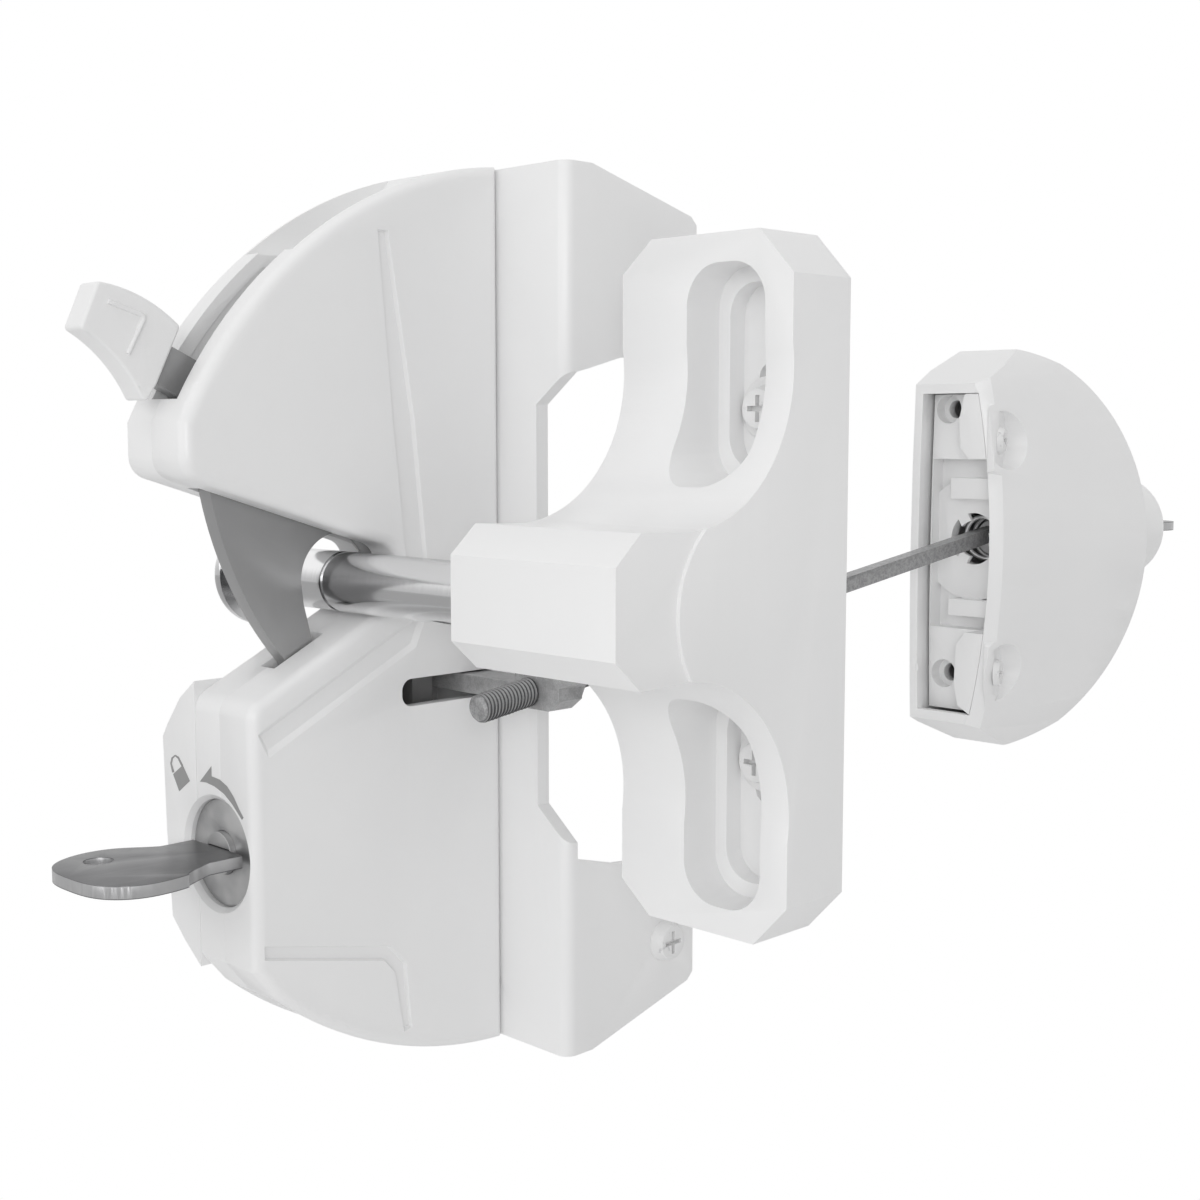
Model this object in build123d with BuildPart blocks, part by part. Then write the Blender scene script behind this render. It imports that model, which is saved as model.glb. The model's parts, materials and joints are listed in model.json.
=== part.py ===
from build123d import *
from math import atan, cos, pi, radians, sin, sqrt
import os

os.makedirs("parts", exist_ok=True)

# Gate latch set in millimetres.
# X runs from the post towards the gate, Y from the yard towards the street, Z up.
# The origin is the middle of the bracket face that lies on the post.

# Post bracket
plate_half_height = 85.0
plate_half_width = 18.0
plate_thickness = 3.0
leg_inner_x = 15.5
leg_end_y = 33.2
leg_screw_y = 24.5
leg_screw_z = plate_half_height - 17.5
screw_neck_radius = 2.5
screw_neck_gap = 0.1
leg_hole_radius = screw_neck_radius + screw_neck_gap
window_left_x = 10.0

# Latch housing
near_x = 0.0
split_x = -10.0
far_x = -19.5
wall = 2.5
housing_back_y = -plate_thickness
housing_overhang = 0.6
housing_half_height = plate_half_height + housing_overhang
nose_front_y = -72.6
lock_face_y = -60.8
v_end_y = -28.0
v_upper_slope = -0.32
v_lower_slope = 0.50
flank_radius = 2.2
channel_near_x = -5.0
channel_far_x = -13.0
groove_depth = 0.9

# Hook and its pivot
pivot_y = -13.5
pivot_z = 7.5
pin_radius = 3.0
turn_clearance = 0.05
hook_near_x = -8.25
hook_far_x = -11.75
hook_slot_gap = 0.4
grip_near_x = -7.0
grip_far_x = -13.0
hub_radius = 6.4
boss_radius = 4.6
boss_gap = 0.25

# Key lock
lock_x = -12.0
lock_z = -39.5
sleeve_radius = 9.7
sleeve_front_y = -59.2
sleeve_back_y = -38.0
sleeve_gap = 0.1
plug_nose_radius = 3.9
plug_radius = 6.5
collar_radius = 11.2
collar_back_y = -46.0
key_thickness = 2.3
key_gap = 0.1
cam_pin_reach = 4.95
cam_pin_radius = 1.5
cam_thickness = 2.5
cam_radius = 7.0
bulge_room_back_y = -44.2
bolt_front_y = -33.0
bolt_back_y = -29.5
bolt_top_z = -22.0
tongue_depth = 3.5
tongue_back_y = -19.4
pin_slot_gap = 0.3

# Push arm and rod
arm_bottom_z = -14.3
arm_top_z = -10.8
arm_front_y = -13.2
arm_back_y = -6.2
rod_x = 19.2
rod_tip_y = -26.3
rod_tip_z = -13.9
rod_slope = 0.143
stud_radius = 2.5
stud_length = 38.0
rod_side = 3.4
rod_end_y = 145.5

# Strike bar and striker
bar_y = -35.5
bar_z = 8.0
bar_radius = 5.55
bar_hole_gap = 0.05
bar_head_radius = 10.0
bar_head_x = -37.0
striker_left_x = 33.2
striker_right_x = 71.6
striker_front_y = -43.8
striker_plate_y = -3.5
striker_back_y = 11.9
striker_z = 8.4
striker_half_height = 60.3
nose_flat = 7.1
nose_half = 12.0
pocket_x = 57.1
pocket_offset_z = 36.6
pocket_floor_y = 5.0
screw_slot_floor_y = 8.9
striker_screw_offset_z = 31.0
washer_thickness = 1.2

# Screws, pins and small fits
screw_pilot_radius = 1.3
screw_hole_radius = 1.6
screw_head_radius = 2.8
screw_head_height = 2.0
pin_near_x = -3.3
pin_far_x = -16.4
pin_end_gap = 0.2
tail_back_y = -13.9
spring_pocket_radius = 7.6
hook_spring_radius = 6.0
hook_spring_wire = 0.6
hook_spring_near_x = -3.4
hook_spring_far_x = -7.0
hook_spring_turns = 2 + 25 / 360
spring_rest_z = 0.0
spring_hole_depth = 2.0
guide_width = 1.6
sleeve_web = 1.5
plug_nose_out = 1.2
keyway_end_y = -46.0
blade_width = 6.4
fork_back_y = -44.6
fork_thickness = 1.2
fork_gap = 8.65
cam_back_y = sleeve_back_y + cam_thickness
arm_far_x = -12.6
block_front_y = -13.5
block_back_y = -7.5
locknut_start = 19.9
bar_grip = 26.0
bar_groove_x = -7.2
set_screw_x = 46.0
set_screw_radius = 2.5
gate_screw_radius = 2.3
gate_screw_length = 28.0
arm_slot_front_y = -27.9
arm_slot_back_y = -5.6
arm_slot_bottom_z = -15.6
arm_slot_top_z = -10.4

upper_bosses = [(-10.0, 50.0)]
lower_bosses = [(-36.0, -64.0), (-11.0, -45.0)]
bracket_boss_z = plate_half_height - 13.0
near_bracket_boss_x = -5.5
far_bracket_boss_x = -15.0
recess_near_x = -2.6
recess_far_x = -17.0
recess_wall = 2.2

# Street side unit
unit_back_y = 126.0
unit_x = 19.4
unit_z = 9.2
unit_flare = 6.0
shoulder_y = 143.0
shoulder_top_z = 55.2
shoulder_bottom_z = -42.6
dome_end_y = 188.0
dome_z = 7.8
cover_wall = 2.2
cover_edge = 2.6
base_front_y = 137.0
base_gap = 0.15
floor_y = 131.0
hub_floor_y = 134.0
corner_floor_y = 135.4
block_inset = 0.3
hub_radius_street = 15.0
post_hole_x = 13.6
post_hole_z = (40.7, -24.3)
post_hole_radius = 2.2
post_head_room = 3.5
cover_screw_spots = ((131.4, 33.2), (132.0, -22.7))
cover_screw_turn = 20.0
cover_screw_x = 29.2
cover_screw_radius = 1.6
cover_screw_length = 5.6
cover_pocket_radius = 7.0
cover_pocket_depth = 1.4
cover_pocket_wall = 1.8
striker_screw_length = 18.0
button_radius = 13.8
button_gap = 0.2
button_end_y = 207.0
button_back_y = 172.0
lug_reach = 16.4
lug_width = 8.0
lug_thickness = 3.0
cam_room_radius = 9.6
cam_room_end_y = 188.0
stem_radius = 4.3
stem_end_y = 142.5
button_spring_radius = 5.2
button_spring_wire = 0.5
button_spring_turns = 9
spring_seat_y = 135.2
spring_bore_radius = 6.3
opening_top_z = 44.4
opening_bottom_z = -33.0
tube_radius = 16.2
tube_back_y = 175.3
button_bore_back_y = 158.5
outer_plug_radius = 6.5
outer_keyway_end_y = 194.0


def side(x):
    """Plane across the latch at x, drawn as Y to the right and Z up."""
    return Plane.YZ.offset(x)


def front(y):
    """Plane facing the yard at y, drawn as X to the right and Z up."""
    return Plane(origin=(0, y, 0), x_dir=(1, 0, 0), z_dir=(0, -1, 0))


def round_corners(points, radius):
    """Rounds the corners of the open sketch that lie nearest to the given points."""
    fillet([vertices().sort_by_distance(Vector(a, b, 0))[0] for a, b in points], radius)


def outline(points, mode=Mode.ADD):
    """Filled outline through the given points."""
    with BuildLine() as path:
        Polyline(*points, close=True)
    make_face(path.edges(), mode=mode)


def save(part, name):
    """Names the finished part and writes its file."""
    part.label = name
    export_step(part, "parts/" + name + ".step")


def biarc(start, start_dir, end, end_dir):
    """Two arcs that join two points and keep the direction at both of them."""
    span = end - start
    both = start_dir + end_dir
    turn = 2 * (1 - start_dir.dot(end_dir))
    along = span.dot(both)
    reach = (sqrt(along * along + turn * span.dot(span)) - along) / turn
    middle = (start + end + (start_dir - end_dir) * reach) * 0.5
    TangentArc(start, middle, tangent=start_dir)
    TangentArc(middle, end, tangent=end_dir * -1, tangent_from_first=False)


def v_upper(y):
    """Height of the upper side of the front notch at y."""
    return 26.8 + v_upper_slope * (y + 68.2)


def v_lower(y):
    """Height of the lower side of the front notch at y."""
    return -7.6 + v_lower_slope * (y + 52.3)


def housing_outline():
    """Side view of the housing: a half disc with the front notch and the flat lock face."""
    upper_end = (nose_front_y, 37.0)
    lower_end = (-56.0, -64.8)
    with BuildLine() as path:
        ThreePointArc((housing_back_y, housing_half_height), (-44.9, housing_half_height - 15.8), upper_end)
        Polyline(
            upper_end,
            (nose_front_y, v_upper(nose_front_y)),
            (v_end_y, v_upper(v_end_y)),
            (v_end_y, v_lower(v_end_y)),
            (lock_face_y, v_lower(lock_face_y)),
            (lock_face_y, -58.9),
            lower_end,
        )
        ThreePointArc(lower_end, (-32.5, 6.4 - housing_half_height), (housing_back_y, -housing_half_height))
        Line((housing_back_y, -housing_half_height), (housing_back_y, housing_half_height))
    make_face(path.edges())
    round_corners([(nose_front_y, v_upper(nose_front_y))], 4.0)
    round_corners([(lock_face_y, v_lower(lock_face_y))], 4.0)
    round_corners([(v_end_y, v_upper(v_end_y)), (v_end_y, v_lower(v_end_y))], 4.4)


def lever_slot():
    """Side view of the opening in the curved wall that the hook arm swings in."""
    outline([(-80, 40.9), (-60, 40.9), (-46, 52), (-30.2, 62), (-31.4, 80), (-62, 80)])


def hook_slot():
    """Side view of the opening in the notch walls that the hook plate swings in."""
    outline([(-65, 32), (-65, 20), (-34, 9), (-34, 5.5), (-22, 5.5), (-22, 19)])


def tip_slot():
    """Side view of the opening in the lower notch wall that takes the hook tip."""
    outline([(-50.6, -14), (-39.8, -14), (-39.8, 4), (-50.6, 4)])


def upper_recess(drop):
    """Side view of the thumb recess in the upper curved wall, its floor lowered by drop."""
    top = housing_half_height
    front_floor = (-48.6 + drop * 0.5, top - 19.0 - drop)
    back_floor = (-16.4, top - 2.6 - drop)
    with BuildLine() as path:
        Polyline(front_floor, (-50.0, top - 15.1), (-32.0, top + 6.4), (-15.0, top + 2.4), back_floor)
        ThreePointArc(back_floor, (-31.0, top - 14.8 - drop), front_floor)
    make_face(path.edges())


def lower_recess(drop):
    """Side view of the shallow recess in the lower curved wall, its floor raised by drop."""
    bottom = -housing_half_height
    front_floor = (-54.0 + drop * 0.5, bottom + 21.2 + drop)
    back_floor = (-20.0, bottom + 4.4 + drop)
    with BuildLine() as path:
        outside = [(-60.0, bottom + 13.6), (-34.0, bottom - 4.4), (-19.0, bottom - 0.4)]
        Polyline(front_floor, *outside, back_floor)
        ThreePointArc(back_floor, (-38.0, bottom + 14.0 + drop), front_floor)
    make_face(path.edges())


# Post bracket: a plate on the inner face of the post with two legs on its side
with BuildPart() as mounting_bracket:
    with BuildSketch(front(0)):
        outline(
            [
                (-plate_half_width, -plate_half_height),
                (plate_half_width, -plate_half_height),
                (plate_half_width, -43.0),
                (window_left_x, -36.5),
                (window_left_x, 40.5),
                (plate_half_width, 46.5),
                (plate_half_width, plate_half_height),
                (-plate_half_width, plate_half_height),
            ]
        )
    extrude(amount=plate_thickness)
    for up in (1, -1):
        with BuildSketch(side(leg_inner_x)):
            outline(
                [
                    (-plate_thickness, up * plate_half_height),
                    (4.0, up * plate_half_height),
                    (31.6, up * (plate_half_height - 7.4)),
                    (leg_end_y, up * (plate_half_height - 9.0)),
                    (leg_end_y, up * 51.2),
                    (11.4, up * 49.4),
                    (3.0, up * 47.2),
                    (0.0, up * 46.5),
                    (-plate_thickness, up * 46.5),
                ]
            )
        extrude(amount=plate_half_width - leg_inner_x)
        with BuildSketch(side(leg_inner_x)):
            with Locations((leg_screw_y, up * leg_screw_z)):
                Circle(leg_hole_radius)
        extrude(amount=plate_half_width, mode=Mode.SUBTRACT)
    upright = edges().filter_by(Axis.Z)
    bend = upright.filter_by_position(Axis.X, plate_half_width - 0.1, plate_half_width + 0.1)
    bend = bend.filter_by_position(Axis.Y, -plate_thickness - 0.1, -plate_thickness + 0.1)
    fillet(bend, plate_half_width - leg_inner_x - 0.1)
    for up in (1, -1):
        for x in (-15.0, -5.5):
            with BuildSketch(front(0)):
                with Locations((x, up * bracket_boss_z)):
                    Circle(1.75)
            extrude(amount=plate_thickness, mode=Mode.SUBTRACT)
            with BuildSketch(front(0)):
                with Locations((x, up * bracket_boss_z)):
                    Circle(3.4)
            extrude(amount=1.8, taper=42, mode=Mode.SUBTRACT)
save(mounting_bracket.part, "mounting_bracket")


# Near half of the housing, on the gate side
with BuildPart() as near_shell:
    with BuildSketch(side(split_x)):
        housing_outline()
    extrude(amount=near_x - split_x)
    fillet(faces().sort_by(Axis.X)[-1].edges(), flank_radius)
    # Hollow, with a thicker flank beside the hook than beside the lock
    for middle_z, inner_x in ((50, channel_near_x), (-50, near_x - wall)):
        with BuildSketch(side(split_x)):
            housing_outline()
            offset(amount=-wall, mode=Mode.REPLACE)
            with Locations((-40, middle_z)):
                Rectangle(200, 100, mode=Mode.INTERSECT)
        extrude(amount=inner_x - split_x, mode=Mode.SUBTRACT)
    # Floors under the two recesses, then the recesses themselves
    for recess in (upper_recess, lower_recess):
        with BuildSketch(side(split_x)):
            recess(recess_wall)
            with BuildSketch(mode=Mode.PRIVATE) as whole:
                housing_outline()
            add(whole.sketch_local, mode=Mode.INTERSECT)
        extrude(amount=near_x - wall - split_x)
        with BuildSketch(side(split_x)):
            recess(0)
        extrude(amount=recess_near_x - split_x, mode=Mode.SUBTRACT)
    # Openings for the arm, the plate and the tip of the hook
    with BuildSketch(side(split_x)):
        lever_slot()
    extrude(amount=channel_near_x - split_x, mode=Mode.SUBTRACT)
    with BuildSketch(side(split_x)):
        hook_slot()
        tip_slot()
    extrude(amount=hook_near_x + hook_slot_gap - split_x, mode=Mode.SUBTRACT)
    # Pocket for the spring, with the boss that carries the pivot pin
    with BuildSketch(side(split_x)):
        with Locations((pivot_y, pivot_z)):
            Circle(spring_pocket_radius)
    extrude(amount=near_x - wall - split_x, mode=Mode.SUBTRACT)
    with BuildSketch(side(hook_near_x + boss_gap)):
        with Locations((pivot_y, pivot_z)):
            Circle(boss_radius)
    extrude(amount=near_x - wall - hook_near_x)
    with BuildSketch(side(split_x)):
        with Locations((pivot_y, pivot_z)):
            Circle(pin_radius + turn_clearance)
    extrude(amount=pin_near_x + pin_end_gap - split_x, mode=Mode.SUBTRACT)
    # Way for the fixed leg of the spring, and the rib that it stands on
    with BuildSketch(side(near_x - wall)):
        outline([(-20.5, 7.5), (-20.5, spring_rest_z), (-18.5, spring_rest_z), (-18.5, 7.5)])
    extrude(amount=-7.0, mode=Mode.SUBTRACT)
    with BuildSketch(side(near_x - wall)):
        outline([(-21.0, spring_rest_z), (-21.0, -3.0), (-18.0, -3.0), (-18.0, spring_rest_z)])
    extrude(amount=-4.0)
    # Posts for the housing screws and for the bracket screws
    for spots, root_x in ((upper_bosses, channel_near_x), (lower_bosses, near_x - wall)):
        with BuildSketch(side(split_x)):
            with Locations(*spots):
                Circle(3.2)
        extrude(amount=root_x - split_x)
        with BuildSketch(side(split_x)):
            with Locations(*spots):
                Circle(screw_pilot_radius)
        extrude(amount=6.4, mode=Mode.SUBTRACT)
    for up in (1, -1):
        with BuildSketch(front(housing_back_y)):
            with Locations((near_bracket_boss_x, up * bracket_boss_z)):
                Circle(3.6)
        extrude(amount=10.0)
        with BuildSketch(front(housing_back_y)):
            with Locations((near_bracket_boss_x, up * bracket_boss_z)):
                Circle(screw_pilot_radius)
        extrude(amount=9.0, mode=Mode.SUBTRACT)
    # Collar and opening of the lock
    with BuildSketch(front(lock_face_y + wall)):
        with Locations((lock_x, lock_z)):
            Circle(collar_radius)
        with Locations((split_x - 20, lock_z)):
            Rectangle(40, 60, mode=Mode.SUBTRACT)
    extrude(amount=lock_face_y + wall - collar_back_y)
    with BuildSketch(front(sleeve_back_y + 0.2)):
        with Locations((lock_x, lock_z)):
            Circle(sleeve_radius + sleeve_gap)
    extrude(amount=28, mode=Mode.SUBTRACT)
    with BuildSketch(front(lock_face_y)):
        with Locations((lock_x, lock_z)):
            Circle(sleeve_radius + sleeve_gap + 0.9)
    extrude(amount=-0.9, taper=45, mode=Mode.SUBTRACT)
    # Guides in front of and behind the bolt
    for guide_y in (bolt_front_y - 0.4, bolt_back_y + 0.4 + guide_width):
        with BuildSketch(front(guide_y)):
            with Locations((-3.7, -35.0)):
                Rectangle(2.4, 22.0)
        extrude(amount=guide_width)
    # Slot that the push arm slides in
    with BuildSketch(side(near_x)):
        outline(
            [
                (arm_slot_front_y, arm_slot_bottom_z),
                (arm_slot_back_y, arm_slot_bottom_z),
                (arm_slot_back_y, arm_slot_top_z),
                (arm_slot_front_y, arm_slot_top_z),
            ]
        )
        round_corners(
            [(arm_slot_front_y, arm_slot_bottom_z), (arm_slot_front_y, arm_slot_top_z)], 2.2
        )
    extrude(amount=-wall * 2, mode=Mode.SUBTRACT)
    # Grooves with sloping sides that decorate the flank
    with BuildSketch(side(near_x)):
        outline(
            [
                (-32.2, 71.4),
                (-29.8, 71.4),
                (-24.2, 37.5),
                (-21.7, 12.9),
                (-21.9, 1.0),
                (-26.6, 3.0),
                (-26.6, 13.1),
                (-29.3, 37.5),
            ]
        )
    extrude(amount=-groove_depth, taper=20, mode=Mode.SUBTRACT)
    with BuildSketch(side(near_x)):
        outline([(-21.4, 2.4), (-24.5, -4.6), (-57.4, -21.0), (-59.6, -16.6), (-28.5, -0.8)])
    extrude(amount=-groove_depth, taper=45, mode=Mode.SUBTRACT)
    with BuildSketch(side(near_x)):
        outline(
            [
                (-59.0, -54.2),
                (-31.4, -60.2),
                (-27.6, -64.4),
                (-26.5, -77.2),
                (-28.4, -77.6),
                (-30.4, -65.6),
                (-32.8, -62.8),
                (-59.0, -56.8),
            ]
        )
    extrude(amount=-groove_depth, taper=20, mode=Mode.SUBTRACT)
save(near_shell.part, "near_shell")


# Far half of the housing, with the bulge that holds the lock
def bulge_outline():
    """Front view of the part of the lock body that stands out past the far flank."""
    outline(
        [
            (-18.0, -9.0),
            (-23.0, -12.6),
            (-27.4, -17.8),
            (-29.2, -20.4),
            (-28.6, -38.0),
            (-27.4, -54.0),
            (-23.4, -57.6),
            (-18.0, -61.5),
        ]
    )


with BuildPart() as far_shell:
    with BuildSketch(side(far_x)):
        housing_outline()
    extrude(amount=split_x - far_x)
    fillet(faces().sort_by(Axis.X)[0].edges(), flank_radius)
    with BuildSketch(front(-30.0)):
        bulge_outline()
    extrude(amount=-30.0 - lock_face_y)
    with BuildSketch(Plane.XY.offset(-70.0)):
        outline([(-40, -29), (-40, -46), (-31, -44), (far_x, -31), (far_x, -29)])
    extrude(amount=70.0, mode=Mode.SUBTRACT)
    # Hollow
    for middle_z, inner_x in ((50, channel_far_x - 0.2), (-50, far_x + wall)):
        with BuildSketch(side(split_x)):
            housing_outline()
            offset(amount=-wall, mode=Mode.REPLACE)
            with Locations((-40, middle_z)):
                Rectangle(200, 100, mode=Mode.INTERSECT)
        extrude(amount=inner_x - split_x, mode=Mode.SUBTRACT)
    with BuildSketch(front(bulge_room_back_y)):
        bulge_outline()
        offset(amount=-wall, mode=Mode.REPLACE)
        outline([(-21.0, -55.0), (far_x + wall, -57.0), (far_x + wall, -14.0), (-21.0, -16.0)])
    extrude(amount=bulge_room_back_y - lock_face_y - wall, mode=Mode.SUBTRACT)
    with BuildSketch(front(cam_back_y + 0.4)):
        with Locations((lock_x, lock_z)):
            Circle(cam_radius + 0.4)
    extrude(amount=10, mode=Mode.SUBTRACT)
    # Floors under the two recesses, then the recesses themselves
    for recess in (upper_recess, lower_recess):
        with BuildSketch(side(split_x)):
            recess(recess_wall)
            with BuildSketch(mode=Mode.PRIVATE) as whole:
                housing_outline()
            add(whole.sketch_local, mode=Mode.INTERSECT)
        extrude(amount=far_x + wall - split_x)
        with BuildSketch(side(split_x)):
            recess(0)
        extrude(amount=recess_far_x - split_x, mode=Mode.SUBTRACT)
    # Openings for the arm, the plate and the tip of the hook
    with BuildSketch(side(split_x)):
        lever_slot()
    extrude(amount=channel_far_x - split_x, mode=Mode.SUBTRACT)
    with BuildSketch(side(split_x)):
        hook_slot()
        tip_slot()
    extrude(amount=hook_far_x - hook_slot_gap - split_x, mode=Mode.SUBTRACT)
    # Boss that carries the pivot pin
    with BuildSketch(side(hook_far_x - boss_gap)):
        with Locations((pivot_y, pivot_z)):
            Circle(boss_radius)
    extrude(amount=far_x + wall - hook_far_x)
    with BuildSketch(side(split_x)):
        with Locations((pivot_y, pivot_z)):
            Circle(pin_radius + turn_clearance)
    extrude(amount=pin_far_x - pin_end_gap - split_x, mode=Mode.SUBTRACT)
    # Posts and sunk holes for the housing screws, posts for the bracket screws
    with BuildSketch(side(split_x)):
        with Locations(*upper_bosses, *lower_bosses):
            Circle(3.2)
    extrude(amount=far_x + wall - split_x)
    with BuildSketch(side(split_x)):
        with Locations(*upper_bosses, *lower_bosses):
            Circle(screw_hole_radius)
    extrude(amount=far_x - split_x, mode=Mode.SUBTRACT)
    with BuildSketch(side(far_x)):
        with Locations(*upper_bosses, *lower_bosses):
            Circle(screw_head_radius + 0.2)
    extrude(amount=screw_head_height + 0.3, mode=Mode.SUBTRACT)
    for up in (1, -1):
        with BuildSketch(front(housing_back_y)):
            with Locations((far_bracket_boss_x, up * bracket_boss_z)):
                Circle(3.6)
        extrude(amount=10.0)
        with BuildSketch(front(housing_back_y)):
            with Locations((far_bracket_boss_x, up * bracket_boss_z)):
                Circle(screw_pilot_radius)
        extrude(amount=9.0, mode=Mode.SUBTRACT)
    # Collar and opening of the lock
    with BuildSketch(front(lock_face_y + wall)):
        with Locations((lock_x, lock_z)):
            Circle(collar_radius)
        with Locations((split_x + 20, lock_z)):
            Rectangle(40, 60, mode=Mode.SUBTRACT)
    extrude(amount=lock_face_y + wall - collar_back_y)
    with BuildSketch(front(sleeve_back_y + 0.2)):
        with Locations((lock_x, lock_z)):
            Circle(sleeve_radius + sleeve_gap)
    extrude(amount=28, mode=Mode.SUBTRACT)
    with BuildSketch(front(lock_face_y)):
        with Locations((lock_x, lock_z)):
            Circle(sleeve_radius + sleeve_gap + 0.9)
    extrude(amount=-0.9, taper=45, mode=Mode.SUBTRACT)
    # Guides in front of and behind the bolt
    for guide_y in (bolt_front_y - 0.4, bolt_back_y + 0.4 + guide_width):
        with BuildSketch(front(guide_y)):
            with Locations((-16.2, -25.4)):
                Rectangle(1.8, 6.0)
        extrude(amount=guide_width)
save(far_shell.part, "far_shell")


# Screws that close the housing and screws that hold it on the bracket
with BuildPart() as housing_screws:
    with BuildSketch(side(far_x + screw_head_height + 0.3)):
        with Locations(*upper_bosses, *lower_bosses):
            Circle(screw_head_radius)
    extrude(amount=-screw_head_height)
    with BuildSketch(side(far_x + screw_head_height + 0.3)):
        with Locations(*upper_bosses, *lower_bosses):
            Circle(screw_pilot_radius - 0.05)
    extrude(amount=12.5)
    with BuildSketch(side(far_x + 0.3)):
        with Locations(*upper_bosses, *lower_bosses):
            Rectangle(2.9, 0.6)
            Rectangle(0.6, 2.9)
    extrude(amount=1.1, mode=Mode.SUBTRACT)
save(housing_screws.part, "housing_screws")

with BuildPart() as bracket_screws:
    spots = [(x, up * bracket_boss_z) for x in (near_bracket_boss_x, far_bracket_boss_x) for up in (1, -1)]
    with BuildSketch(front(-0.1)):
        with Locations(*spots):
            Circle(3.1)
    extrude(amount=1.6, taper=42)
    with BuildSketch(front(-1.0)):
        with Locations(*spots):
            Circle(screw_pilot_radius - 0.05)
    extrude(amount=10.0)
    with BuildSketch(front(-0.1)):
        with Locations(*spots):
            Rectangle(2.9, 0.6)
            Rectangle(0.6, 2.9)
    extrude(amount=0.9, mode=Mode.SUBTRACT)
save(bracket_screws.part, "bracket_screws")


def least_gap(line, wire, turn_radius):
    """Smallest free space between different turns of a tube with the given radius."""
    count = int(line.length / wire)
    points = [line.position_at(i / count) for i in range(count + 1)]
    half_turn = int(pi * turn_radius / wire)
    spans = [(a - b).length for i, a in enumerate(points) for b in points[i + half_turn :]]
    return min(spans) - 2 * wire


# Torsion spring of the hook: a leg on the rib, two turns and a leg in the plate
def hook_coil(turn):
    """Centre of the wire and its direction after the given number of turns."""
    angle = pi - 2 * pi * turn
    pitch = (hook_spring_far_x - hook_spring_near_x) / hook_spring_turns
    centre = Vector(hook_spring_near_x + pitch * turn, pivot_y, pivot_z)
    spoke = Vector(0, cos(angle), sin(angle)) * hook_spring_radius
    along = Vector(pitch / (2 * pi), sin(angle) * hook_spring_radius, -cos(angle) * hook_spring_radius)
    return centre + spoke, along.normalized()


with BuildPart() as hook_spring:
    with BuildLine() as route:
        leg_foot = Vector(hook_spring_near_x, pivot_y - hook_spring_radius, spring_rest_z)
        place = Vector(hook_spring_near_x, pivot_y - hook_spring_radius, pivot_z)
        heading = Vector(0, 0, 1)
        Line(leg_foot, place)
        for quarter in range(1, 9):
            next_place, next_heading = hook_coil(quarter / 4)
            biarc(place, heading, next_place, next_heading)
            place, heading = next_place, next_heading
        next_place, next_heading = hook_coil(hook_spring_turns)
        biarc(place, heading, next_place, next_heading)
        inward = Vector(-1, 0, 0)
        bend_end = next_place + next_heading * 2 * hook_spring_wire + inward * 2 * hook_spring_wire
        biarc(next_place, next_heading, bend_end, inward)
        leg_end = Vector(hook_near_x - spring_hole_depth, bend_end.Y, bend_end.Z)
        Line(bend_end, leg_end)
    with BuildSketch(Plane(origin=leg_foot, z_dir=(0, 0, 1))):
        Circle(hook_spring_wire)
    sweep(path=route.wires()[0])
save(hook_spring.part, "hook_spring")
print("hook spring gap", least_gap(route.wires()[0], hook_spring_wire, hook_spring_radius))


# Hook plate: lever arm, hook round the bar, hub and tail in one flat piece
with BuildPart() as latch_hook:
    with BuildSketch(side(hook_far_x)):
        with BuildLine():
            Polyline(
                (-42.0, -6.6),
                (-41.8, -3.3),
                (-43.7, 4.2),
                (-44.2, 8.5),
            )
            ThreePointArc((-44.2, 8.5), (-35.7, 17.0), (-27.2, 8.5))
            Polyline(
                (-27.2, 8.5),
                (-20.0, 4.5),
                (-13.5, 2.0),
                (-8.8, 10.0),
                (-11.5, 13.5),
                (-17.0, 14.6),
                (-57.0, 43.8),
                (-65.0, 47.6),
                (-75.8, 52.7),
                (-77.9, 46.0),
                (-71.8, 43.1),
                (-68.1, 41.3),
                (-65.6, 38.8),
                (-64.4, 33.0),
                (-63.0, 26.6),
            )
            ThreePointArc((-63.0, 26.6), (-58.0, 10.3), (-47.5, -6.1))
            ThreePointArc((-47.5, -6.1), (-44.6, -8.3), (-42.0, -6.6))
        make_face()
        with Locations((pivot_y, pivot_z)):
            Circle(hub_radius)
        outline([(-18.9, 4.0), (-18.9, -18.5), (tail_back_y, -18.5), (tail_back_y, 4.0)])
        with Locations((pivot_y, pivot_z)):
            Circle(pin_radius + turn_clearance, mode=Mode.SUBTRACT)
    extrude(amount=hook_near_x - hook_far_x)
    with BuildSketch(side(leg_end.X)):
        with Locations((leg_end.Y, leg_end.Z)):
            Circle(hook_spring_wire + turn_clearance)
    extrude(amount=spring_hole_depth, mode=Mode.SUBTRACT)
save(latch_hook.part, "latch_hook")

with BuildPart() as hook_pivot_pin:
    with BuildSketch(side(pin_far_x)):
        with Locations((pivot_y, pivot_z)):
            Circle(pin_radius)
    extrude(amount=pin_near_x - pin_far_x)
    chamfer(edges().filter_by(GeomType.CIRCLE), 0.4)
save(hook_pivot_pin.part, "hook_pivot_pin")

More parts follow.
